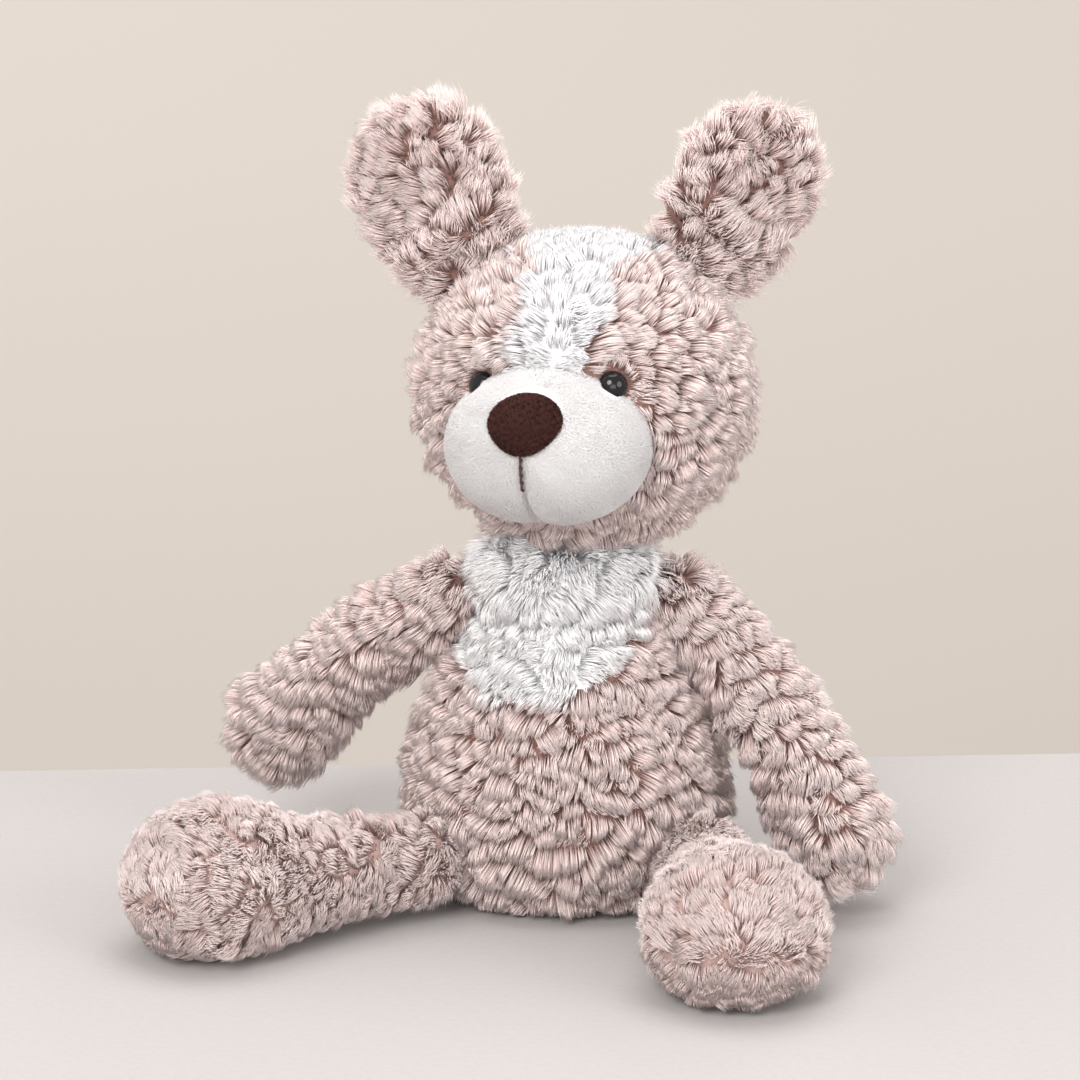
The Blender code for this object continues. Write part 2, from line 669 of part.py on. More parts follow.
def leg_spine(nm):
    a, b = HIP[nm], FOOT[nm]
    return Spine([a, a.lerp(b, 0.5) + Vector((0, 0, -0.0015)), b], (0.0, 0.0, 1.0))


def leg_profile(reach):
    k = reach / 0.0820
    return limb_profile(LEG_ROOT_R, [(0.014 * k, 0.0142, 0.0138), (0.030 * k, 0.0150, 0.0142),
                                     (0.046 * k, 0.0178, 0.0166), (0.060 * k, 0.0240, 0.0216)],
                        (0.0750 * k, 0.0282, 0.0244, 0.0275))


def ear_spine(nm):
    return Spine([EAR_BASE[nm], EAR_MID[nm], EAR_TIP[nm]], EAR_FACE[nm])


def ear_profile(total):
    ctrl = [(0.0, 0.0, 0.0), (0.0006, 0.0085, 0.0022), (0.0045, 0.0135, 0.0036), (0.016, 0.0180, 0.0044),
            (0.030, 0.0224, 0.0047), (0.044, 0.0243, 0.0047), (0.055, 0.0222, 0.0044), (0.0635, 0.0160, 0.0036),
            (0.0672, 0.0085, 0.0024), (0.0680, 0.0, 0.0)]
    k = total / 0.0680
    return [(s * k, ra, rb) for s, ra, rb in [tuple(map(float, q)) for q in smooth_through(ctrl, 15)]]


def build():
    clear_scene()
    mats = {
        "mauve": material("mauve_pile", MAUVE, 0.95),
        "white": material("white_pile", WHITE, 0.95),
        "nose": material("nose_brown", NOSE_BROWN, 0.9),
        "black": material("eye_black", BLACK, 0.08),
        "washer": material("washer_plastic", (0.75, 0.75, 0.72), 0.5),
        "wadding": material("wadding", WADDING, 1.0),
        "bean": material("bean_cloth", BEAN_CLOTH, 0.9),
    }
    root = pivot_empty("torso_root", Vector((0, 0, 0)))
    neck = pivot_empty("neck_pivot", NECK_PIVOT, root)
    head = pivot_empty("head_pivot", NECK_PIVOT, neck)
    build_torso(root, mats)
    build_head(head, neck, mats)

    for nm in ("left", "right"):
        # ears
        pivot = pivot_empty("ear_pivot_" + nm, EAR_BASE[nm], head)
        sp = ear_spine(nm)
        prof = ear_profile(sp.total)
        prof = [(s + 0.0016, ra, rb) for s, ra, rb in prof]
        loft_half("ear_front_" + nm, sp, prof, 1, mats["mauve"], pivot, cols=7, solid=True)
        loft_half("ear_rear_" + nm, sp, prof, -1, mats["mauve"], pivot, cols=7, solid=True)

        # arms
        sh = pivot_empty("shoulder_pivot_" + nm, SHOULDER[nm], root)
        arm = pivot_empty("arm_pivot_" + nm, SHOULDER[nm], sh)
        v, f = closed_of_rings(ball_rings(SHOULDER[nm], PLUG_R, 7, 10))
        add_piece("shoulder_plug_" + nm, v, f, mats["wadding"], sh)
        sp = arm_spine(nm)
        prof = arm_profile(sp.total)
        loft_half("arm_front_" + nm, sp, prof, 1, mats["mauve"], arm)
        loft_half("arm_rear_" + nm, sp, prof, -1, mats["mauve"], arm)
        loft_core("arm_wadding_" + nm, sp, prof, CLOTH + FILL_GAP, PLUG_R + 0.0012, prof[-1][0] - CLOTH - 0.0012,
                  mats["wadding"], arm)

        # legs
        hp = pivot_empty("hip_pivot_" + nm, HIP[nm], root)
        leg = pivot_empty("leg_pivot_" + nm, HIP[nm], hp)
        v, f = closed_of_rings(ball_rings(HIP[nm], PLUG_R, 7, 10))
        add_piece("hip_plug_" + nm, v, f, mats["wadding"], hp)
        sp = leg_spine(nm)
        prof = leg_profile(sp.total)
        loft_half("leg_top_" + nm, sp, prof, 1, mats["mauve"], leg, cols=8)
        loft_half("leg_sole_" + nm, sp, prof, -1, mats["mauve"], leg, cols=8)
        loft_core("leg_wadding_" + nm, sp, prof, CLOTH + FILL_GAP, PLUG_R + 0.0012, 0.0560, mats["wadding"], leg)
        loft_core("foot_bean_bag_" + nm, sp, prof, CLOTH + FILL_GAP, 0.0575, prof[-1][0] - CLOTH - 0.0012,
                  mats["bean"], leg)

    tail = pivot_empty("tail_pivot", TAIL_PIVOT, root)
    d = TAIL_TIP - TAIL_PIVOT
    sp = Spine([TAIL_PIVOT, TAIL_PIVOT.lerp(TAIL_TIP, 0.5) + Vector((0, 0.0015, -0.001)), TAIL_TIP], (1.0, 0.0, 0.0))
    prof = limb_profile(TAIL_ROOT_R, [(0.010, 0.0086, 0.0086), (0.020, 0.0084, 0.0084)], (0.0300, 0.0076, 0.0076, 0.0080))
    loft_half("tail_panel_left", sp, prof, 1, mats["mauve"], tail, cols=7)
    loft_half("tail_panel_right", sp, prof, -1, mats["mauve"], tail, cols=7)
    loft_core("tail_wadding", sp, prof, CLOTH + FILL_GAP, -0.0040, prof[-1][0] - CLOTH - 0.0012, mats["wadding"], tail,
              cols=8)


build()
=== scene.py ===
"""Looks of the seated plush dog: smooth sewn skins, and pile grown on them as tapered strands.

Units are metres, +Z is up, the dog faces -Y and its own left side is +X.  The shapes repeat the
dimensions of the CAD part, and every piece rides on a CAD body.
"""

import math

import bmesh
import bpy
import numpy as np
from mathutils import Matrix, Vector


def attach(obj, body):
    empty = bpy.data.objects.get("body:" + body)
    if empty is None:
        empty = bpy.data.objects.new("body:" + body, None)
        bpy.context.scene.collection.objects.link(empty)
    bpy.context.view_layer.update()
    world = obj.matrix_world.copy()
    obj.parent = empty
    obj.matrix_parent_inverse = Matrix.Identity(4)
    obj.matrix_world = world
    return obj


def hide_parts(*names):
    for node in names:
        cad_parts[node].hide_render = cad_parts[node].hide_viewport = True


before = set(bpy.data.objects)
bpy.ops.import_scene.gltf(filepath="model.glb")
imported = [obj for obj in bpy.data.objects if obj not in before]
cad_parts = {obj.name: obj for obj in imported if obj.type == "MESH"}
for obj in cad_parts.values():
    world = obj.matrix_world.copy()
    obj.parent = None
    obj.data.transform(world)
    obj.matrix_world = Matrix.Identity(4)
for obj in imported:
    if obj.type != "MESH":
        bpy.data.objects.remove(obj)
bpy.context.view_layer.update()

DENSITY = 1.0
MM = 0.001
FLOOR = 0.00035

# ------------------------------------------------------------------ dimensions
TORSO_PROFILE = [
    (0.0400, 0.0009), (0.0500, 0.0056), (0.0557, 0.0170), (0.0570, 0.0320),
    (0.0552, 0.0510), (0.0505, 0.0690), (0.0430, 0.0850), (0.0350, 0.0980),
    (0.0285, 0.1090), (0.0228, 0.1200), (0.0138, 0.1290), (0.0, 0.1320),
]
TORSO_DEPTH = (0.865, 0.95)
HEAD_C = np.array((0.0065, -0.002, 0.1900))
HEAD_R = np.array((0.0585, 0.0510, 0.0545))
HEAD_YAW = math.radians(-12.5)
MUZZLE_C = np.array((0.0, 0.0460, -0.0115))
MUZZLE_R = np.array((0.0355, 0.0335, 0.0268))
NOSE_UP = MUZZLE_C[2] + MUZZLE_R[2] * math.sin(math.radians(24.0)) * 1.02 + 0.0018
EYE_SIDE, EYE_UP, EYE_R = 0.0232, 0.0112, 0.0052
SHOULDER = {"left": (0.0442, 0.002, 0.110), "right": (-0.0442, 0.002, 0.110)}
PAW = {"left": (0.1020, -0.0275, 0.0275), "right": (-0.1130, 0.0280, 0.0500)}
HIP = {"left": (0.0533, -0.0424, 0.0220), "right": (-0.0533, -0.0424, 0.0220)}
FOOT = {"left": (0.0665, -0.1235, 0.0250), "right": (-0.1270, -0.0880, 0.0250)}
TAIL_PIVOT, TAIL_TIP = (0.0, 0.0590, 0.0260), (0.0, 0.0900, 0.0400)
EAR_BASE = {"left": (0.0450, 0.004, 0.2310), "right": (-0.0320, 0.004, 0.2312)}
EAR_MID = {"left": (0.0610, 0.005, 0.2570), "right": (-0.0500, 0.005, 0.2560)}
EAR_TIP = {"left": (0.0715, 0.003, 0.2880), "right": (-0.0550, 0.003, 0.2890)}
EAR_FACE = {"left": (0.50, -0.86, 0.0), "right": (-0.10, -0.99, 0.0)}
EAR_IN = {"left": (0.0002, 0.0, 0.0), "right": (0.0022, 0.0, 0.0)}

HC, HS = math.cos(HEAD_YAW), math.sin(HEAD_YAW)
HEAD_M = np.array([(HC, HS, 0.0), (HS, -HC, 0.0), (0.0, 0.0, 1.0)])   # rows: side, forward, up
UP = np.array((0.0, 0.0, 1.0))


# ------------------------------------------------------------------ small maths
def unit(v):
    v = np.asarray(v, float)
    return v / np.maximum(np.linalg.norm(v, axis=-1, keepdims=True), 1e-12)


def dot(a, b):
    return (a * b).sum(-1, keepdims=True)


def flat_on(v, n):
    """v with its part along n taken away."""
    return v - dot(v, n) * n


def through(points, count):
    """Catmull-Rom samples through control rows, ends included."""
    pts = np.array(points, float)
    ext = np.vstack([2 * pts[0] - pts[1], pts, 2 * pts[-1] - pts[-2]])
    u = np.linspace(0.0, len(pts) - 1.0, count)
    i = np.minimum(u.astype(int), len(pts) - 2)
    t = (u - i)[:, None]
    p0, p1, p2, p3 = ext[i], ext[i + 1], ext[i + 2], ext[i + 3]
    return 0.5 * (2 * p1 + (p2 - p0) * t + (2 * p0 - 5 * p1 + 4 * p2 - p3) * t * t + (3 * p1 - p0 - 3 * p2 + p3) * t ** 3)


def step(lo, hi, x):
    t = np.clip((x - lo) / (hi - lo), 0, 1)
    return t * t * (3 - 2 * t)


class Waves:
    """Smooth seeded noise of about unit size over points in space."""

    def __init__(self, seed, scale, count=14):
        rng = np.random.default_rng(seed)
        self.k = unit(rng.normal(size=(count, 3))) * (2 * math.pi / scale) * rng.uniform(0.6, 1.6, (count, 1))
        self.p = rng.uniform(0, 2 * math.pi, count)

    def __call__(self, at):
        return np.sin(at @ self.k.T + self.p).sum(-1) / math.sqrt(len(self.p) / 2)


def to_head(p):
    return (p - HEAD_C) @ HEAD_M.T


def from_head(q):
    return HEAD_C + np.asarray(q, float) @ HEAD_M


# ------------------------------------------------------------------- surfaces
class Surf:
    """A closed skin as rings of points: r in metres along the pile's flow, a round it."""

    def __init__(self, grid):
        self.P = np.asarray(grid, float)
        self.nr, self.na = self.P.shape[:2]
        P = self.P
        away = np.roll(P, -1, 1) - np.roll(P, 1, 1)
        along = np.gradient(P, axis=0)
        N = np.cross(along, away)
        N[0], N[-1] = N[1].mean(0), N[-2].mean(0)
        N = unit(N)
        if dot(N, P - P.reshape(-1, 3).mean(0)).mean() < 0:
            N = -N
        self.N, self.E = N, unit(flat_on(along, N))
        quad = [P[:-1], P[1:], np.roll(P, -1, 1)[1:], np.roll(P, -1, 1)[:-1]]
        self.area = np.linalg.norm(np.cross(quad[2] - quad[0], quad[3] - quad[1]), axis=-1) / 2
        self.mid = sum(quad) / 4
        self.mid_n = unit(N[:-1] + N[1:] + np.roll(N, -1, 1)[1:] + np.roll(N, -1, 1)[:-1])

    def at(self, i, fi, j, fj):
        k = (j + 1) % self.na
        fi, fj = fi[:, None], fj[:, None]
        out = []
        for A in (self.P, self.N, self.E):
            out.append((A[i, j] * (1 - fj) + A[i, k] * fj) * (1 - fi) + (A[i + 1, j] * (1 - fj) + A[i + 1, k] * fj) * fi)
        return out[0], unit(out[1]), unit(out[2])

    def scatter(self, rng, per_mm2, weight):
        w = self.area * np.clip(weight(self.mid, self.mid_n), 0, None)
        n = int(w.sum() * 1e6 * per_mm2)
        cum = np.cumsum(w.ravel())
        pick = np.minimum(np.searchsorted(cum, (np.arange(n) + rng.random(n)) / n * cum[-1]), w.size - 1)
        i, j = np.divmod(pick, self.na)
        return self.at(i, rng.random(n), j, rng.random(n))

    def centres(self, rng, row, col, jitter=0.30):
        """Middles of tufts, in wavy rows along the flow."""
        step_r = np.linalg.norm(np.diff(self.P, axis=0), axis=-1).mean(1)
        along = np.concatenate([[0], np.cumsum(step_r)])
        wave = Waves(int(rng.integers(1 << 30)), 0.045, 8)
        out = []
        for s in np.arange(row * 0.35, along[-1], row):
            fi = float(np.interp(s, along, np.arange(self.nr)))
            i = min(int(fi), self.nr - 2)
            ring = self.P[i] * (1 - fi + i) + self.P[i + 1] * (fi - i)
            edge = np.linalg.norm(np.roll(ring, -1, 0) - ring, axis=1)
            total = edge.sum()
            n = max(1, int(round(total / col)))
            mark = (np.arange(n) + rng.random() + rng.uniform(-jitter, jitter, n)) / n * total % total
            pos = np.interp(mark, np.concatenate([[0], np.cumsum(edge)]), np.arange(self.na + 1))
            j = np.minimum(pos.astype(int), self.na - 1)
            pt = ring[j] * (1 - (pos - j))[:, None] + ring[(j + 1) % self.na] * (pos - j)[:, None]
            ds = rng.uniform(-0.50, 0.50, n) * row + wave(pt) * row * 0.45
            fi2 = np.clip(np.interp(s + ds, along, np.arange(self.nr)), 0, self.nr - 1.001)
            i2 = fi2.astype(int)
            out.append(self.at(i2, fi2 - i2, j, pos - j))
        return [np.concatenate([o[q] for o in out]) for q in range(3)]


SHOULDERS = TORSO_PROFILE[:7] + [(0.0358, 0.0975), (0.0314, 0.1075), (0.0316, 0.1145), (0.0318, 0.1205), (0.0282, 0.1268),
                                 (0.0190, 0.1312), (0.0, 0.1330)]


def torso_surf(nr=150, na=160):
    prof = through(SHOULDERS, nr)[::-1]
    f = np.clip(prof[:, 1] / 0.132, 0, 1)
    depth = TORSO_DEPTH[0] * (1 - f) + TORSO_DEPTH[1] * f
    a = np.linspace(0, 2 * math.pi, na, endpoint=False)
    w = prof[:, :1]
    return Surf(np.stack([w * np.sin(a), -(w * depth[:, None]) * np.cos(a), np.repeat(prof[:, 1:], na, 1)], -1))


def head_surf(nr=150, na=160):
    th = np.linspace(0.0, math.pi, nr)[:, None]
    a = np.linspace(0, 2 * math.pi, na, endpoint=False)[None]
    loc = np.stack([HEAD_R[0] * np.sin(th) * np.cos(a), HEAD_R[1] * np.cos(th) + 0 * a,
                    HEAD_R[2] * np.sin(th) * np.sin(a)], -1)
    return Surf(from_head(loc))


class Spine:
    def __init__(self, points, cross):
        self.pts = through(points, 61)
        self.len = np.concatenate([[0], np.cumsum(np.linalg.norm(np.diff(self.pts, axis=0), axis=1))])
        self.total = float(self.len[-1])
        self.cross = unit(cross)
        self.tan = unit(np.gradient(self.pts, axis=0))

    def frame(self, s):
        s = np.asarray(s, float)
        c = np.stack([np.interp(s, self.len, self.pts[:, k]) for k in range(3)], -1)
        t = unit(np.stack([np.interp(s, self.len, self.tan[:, k]) for k in range(3)], -1))
        c = c + t * (np.minimum(s, 0) + np.maximum(s - self.total, 0))[..., None]
        b = unit(self.cross - dot(t, self.cross) * t)
        return c, t, np.cross(b, t), b


def limb_profile(root_r, stations, tip):
    prof = [(-root_r * math.cos(t), root_r * math.sin(t), root_r * math.sin(t)) for t in
            [math.radians(d) for d in (0, 12, 28, 54, 80)]] + stations
    s0, ra, rb, rl = tip
    return prof + [(s0 + rl * math.sin(t), ra * math.cos(t), rb * math.cos(t)) for t in
                   [math.radians(d) for d in (0, 26, 50, 71, 84, 90)]]


def loft(spine, prof, nr=130, na=96):
    """Rings of a lofted limb; the profile is smoothed, and its ends close to points."""
    p = through(prof, nr)
    s = np.maximum.accumulate(p[:, 0] + np.arange(nr) * 1e-9)
    ra, rb = np.clip(p[:, 1], 0, None), np.clip(p[:, 2], 0, None)
    ra[[0, -1]] = rb[[0, -1]] = 0
    c, t, n, b = spine.frame(s)
    a = np.linspace(0, 2 * math.pi, na, endpoint=False)
    return Surf(c[:, None] + n[:, None] * (ra[:, None] * np.cos(a))[..., None] + b[:, None] * (rb[:, None] * np.sin(a))[..., None])


def arm_parts(nm):
    a, b = np.array(SHOULDER[nm]), np.array(PAW[nm])
    mid = a + (b - a) * 0.46 + unit((1 if nm == "left" else -1, 0, 0.35)) * 0.0050
    sp = Spine([a, mid, b], (0.0, -1.0, 0.25))
    k = sp.total / 0.1050
    prof = limb_profile(0.0125, [(0.014 * k, .0133, .0133), (0.032 * k, .0138, .0138), (0.052 * k, .0140, .0140),
                                 (0.072 * k, .0150, .0148), (0.088 * k, .0168, .0160)], (0.1020 * k, .0178, .0166, .0178))
    return sp, prof


def leg_parts(nm):
    a, b = np.array(HIP[nm]), np.array(FOOT[nm])
    b = b + (0, 0, 0.0016 if nm == "right" else 0.0)
    sp = Spine([a, (a + b) / 2 + (0, 0, -0.0015), b], (0.0, 0.0, 1.0))
    k = sp.total / 0.0820
    more = 0.0016 if nm == "right" else 0.0
    prof = limb_profile(0.0135, [(0.014 * k, .0142, .0138), (0.030 * k, .0160, .0156), (0.046 * k, .0202, .0192),
                                 (0.060 * k, .0250, .0226 + more)], (0.0750 * k, .0282, .0244 + more, .0275 + more))
    return sp, prof


def ear_parts(nm):
    sp = Spine([np.array(EAR_BASE[nm]) + EAR_IN[nm], np.array(EAR_MID[nm]) + EAR_IN[nm], EAR_TIP[nm]], EAR_FACE[nm])
    ctrl = [(0.0, 0.0, 0.0), (0.0006, .0110, .0026), (0.0045, .0178, .0046), (0.016, .0228, .0056),
            (0.030, .0252, .0054), (0.044, .0250, .0050), (0.055, .0222, .0046), (0.0635, .0160, .0036),
            (0.0672, .0085, .0024), (0.0680, 0.0, 0.0)]
    k = sp.total / 0.0680
    return sp, [(s * k + 0.0016, ra, rb) for s, ra, rb in ctrl]


def tail_parts():
    a, b = np.array(TAIL_PIVOT), np.array(TAIL_TIP)
    sp = Spine([a, (a + b) / 2 + (0, 0.0015, -0.001), b], (1.0, 0.0, 0.0))
    return sp, limb_profile(0.0082, [(0.010, .0086, .0086), (0.020, .0084, .0084)], (0.0300, .0076, .0076, .0080))


# ------------------------------------------------- what is inside another part
def inside_torso(p, grow=0.0):
    z = p[:, 2]
    prof = np.array(TORSO_PROFILE)
    w = np.interp(z, prof[:, 1], prof[:, 0]) + grow
    f = np.clip(z / 0.132, 0, 1)
    d = w * (TORSO_DEPTH[0] * (1 - f) + TORSO_DEPTH[1] * f)
    return ((p[:, 0] / np.maximum(w, 1e-6)) ** 2 + (p[:, 1] / np.maximum(d, 1e-6)) ** 2 < 1) & (z < 0.132 + grow) & (z > 0)


def inside_head(p, grow=0.0):
    q = to_head(p)
    return (((q / (HEAD_R + grow)) ** 2).sum(1) < 1) | ((((q - MUZZLE_C) / (MUZZLE_R + grow + 0.001)) ** 2).sum(1) < 1)


class InLimb:
    def __init__(self, sp, prof):
        arr = np.array(prof)
        self.s = np.linspace(arr[0, 0], arr[-1, 0], 70)
        self.c, self.t, self.n, self.b = sp.frame(self.s)
        self.ra, self.rb = np.interp(self.s, arr[:, 0], arr[:, 1]), np.interp(self.s, arr[:, 0], arr[:, 2])

    def __call__(self, p, grow=0.0):
        hit = np.zeros(len(p), bool)
        near = np.linalg.norm(p[:, None] - self.c[None, ::6], axis=-1).min(1) < 0.045
        if not near.any():
            return hit
        q = p[near]
        d = q[:, None] - self.c[None]
        k = np.abs((d * self.t[None]).sum(-1)).argmin(1)
        d = q - self.c[k]
        e = ((d * self.n[k]).sum(1) / (self.ra[k] + grow + 1e-5)) ** 2 + ((d * self.b[k]).sum(1) / (self.rb[k] + grow + 1e-5)) ** 2
        hit[near] = (e < 1) & (np.abs((d * self.t[k]).sum(1)) < 0.002)
        return hit


IN = {"torso": inside_torso, "head": inside_head}
for _nm in ("left", "right"):
    IN["arm_" + _nm] = InLimb(*arm_parts(_nm))
    IN["leg_" + _nm] = InLimb(*leg_parts(_nm))
    IN["ear_" + _nm] = InLimb(*ear_parts(_nm))
IN["tail"] = InLimb(*tail_parts())


def blocked(body, p, grow=0.0004):
    hit = np.zeros(len(p), bool)
    for other, test in IN.items():
        if other != body:
            hit |= test(p, grow)
    return hit


# -------------------------------------------------------------------- meshes
def put_mesh(name, verts, sizes, loops, uv=None):
    me = bpy.data.meshes.new(name)
    me.vertices.add(len(verts))
    me.vertices.foreach_set("co", np.asarray(verts, np.float32).ravel())
    me.loops.add(len(loops))
    me.loops.foreach_set("vertex_index", np.asarray(loops, np.int32))
    me.polygons.add(len(sizes))
    me.polygons.foreach_set("loop_start", np.concatenate([[0], np.cumsum(sizes)[:-1]]).astype(np.int32))
    me.polygons.foreach_set("use_smooth", np.ones(len(sizes), bool))
    if uv is not None:
        layer = me.uv_layers.new(name="OFBake")
        layer.uv.foreach_set("vector", np.asarray(uv, np.float32).ravel())
    me.update(calc_edges=True)
    me.validate()
    ob = bpy.data.objects.new(name, me)
    bpy.context.scene.collection.objects.link(ob)
    return ob


def ring_mesh(name, P, flat_end=False):
    """Closed smooth skin from rings whose first and last ring are points, or whose last is flat."""
    nr, na = P.shape[:2]
    body = P[1:] if flat_end else P[1:-1]
    verts = [P[0].mean(0)[None], body.reshape(-1, 3)]
    n = len(body)
    j = np.arange(na)
    k = (j + 1) % na
    loops, sizes = [], []
    loops.append(np.stack([np.zeros(na, int), 1 + j, 1 + k], 1).ravel())
    sizes += [3] * na
    i = np.arange(n - 1)[:, None]
    a = 1 + i * na
    loops.append(np.stack([a + j, a + na + j, a + na + k, a + k], -1).reshape(-1))
    sizes += [4] * ((n - 1) * na)
    last = 1 + (n - 1) * na
    verts.append((P[-1].mean(0) if not flat_end else body[-1].mean(0))[None])
    end = 1 + n * na
    loops.append(np.stack([last + j, np.full(na, end), last + k], 1).ravel())
    sizes += [3] * na
    verts = np.concatenate(verts)
    ob = put_mesh(name, verts, np.array(sizes), np.concatenate(loops))
    bm = bmesh.new()
    bm.from_mesh(ob.data)
    bmesh.ops.recalc_face_normals(bm, faces=bm.faces)
    if bm.calc_volume(signed=True) < 0:
        bmesh.ops.reverse_faces(bm, faces=bm.faces)
    bm.to_mesh(ob.data)
    bm.free()
    ob.data.shade_smooth()
    return ob


COLS, KINDS = 32, 16


def strand_mesh(name, rng, P0, P1, P2, P3, rad, tone, kind, body, mat, slot):
    """Tapered three-sided strands from root P0 through P1 and P2 to the tip P3, in pieces of a fair size."""
    made = []
    most = 19500
    parts = max(1, math.ceil(len(P0) / most))
    order = np.argsort(np.arctan2(P0[:, 0] - P0[:, 0].mean(), P0[:, 1] - P0[:, 1].mean()), kind="stable")
    for q in range(parts):
        idx = order[len(order) * q // parts:len(order) * (q + 1) // parts]
        a, b, c, d = P0[idx], P1[idx], P2[idx], P3[idx]
        n = len(idx)
        mid = b * 0.15 + c * 0.85
        t0, t1 = unit(mid - a), unit(d - a)
        ref = unit(rng.normal(size=(n, 3)))
        rings = []
        for at, tan, k in ((a, t0, 0.95), (mid, t1, 1.0)):
            e1 = unit(np.cross(tan, ref))
            e2 = np.cross(tan, e1)
            for m in range(3):
                w = 2 * math.pi * m / 3
                rings.append(at + (e1 * math.cos(w) + e2 * math.sin(w)) * (rad[idx] * k)[:, None])
        verts = np.stack(rings + [d], 1)
        verts[..., 2] = np.maximum(verts[..., 2], FLOOR)
        faces = [(2, 1, 0)] + [(m, (m + 1) % 3, 3 + (m + 1) % 3, 3 + m) for m in range(3)] + [(3 + m, 3 + (m + 1) % 3, 6) for m in range(3)]
        shape = [x for f in faces for x in f]
        level = []
        across = []
        for f in faces:
            for pos, x in enumerate(f):
                level.append((0.0, 0.68, 1.0)[x // 3])
                if len(f) == 3 and x < 3:
                    across.append((0.0, 1.0, 0.5)[x])
                elif x == 6:
                    across.append(0.5)
                else:
                    across.append(1.0 if pos in (1, 2) else 0.0)
        loops = (np.arange(n)[:, None] * 7 + np.array(shape)[None]).ravel()
        sizes = np.tile([len(f) for f in faces], n)
        cx = np.clip((tone[idx] * COLS).astype(int), 0, COLS - 1)
        cy = kind[idx].astype(int)
        u = (cx[:, None] + 0.34 + 0.32 * np.array(across)[None]) / COLS
        v = (cy[:, None] + 0.06 + 0.88 * np.array(level)[None]) / KINDS
        ob = put_mesh(f"{name}_{q + 1}" if parts > 1 else name, verts.reshape(-1, 3), sizes, loops, np.stack([u, v], -1).reshape(-1, 2))
        ob.data.materials.append(mat)
        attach(ob, body)
        made.append(ob)
    return made


STRANDS = [0]
LOCK = 0.0027


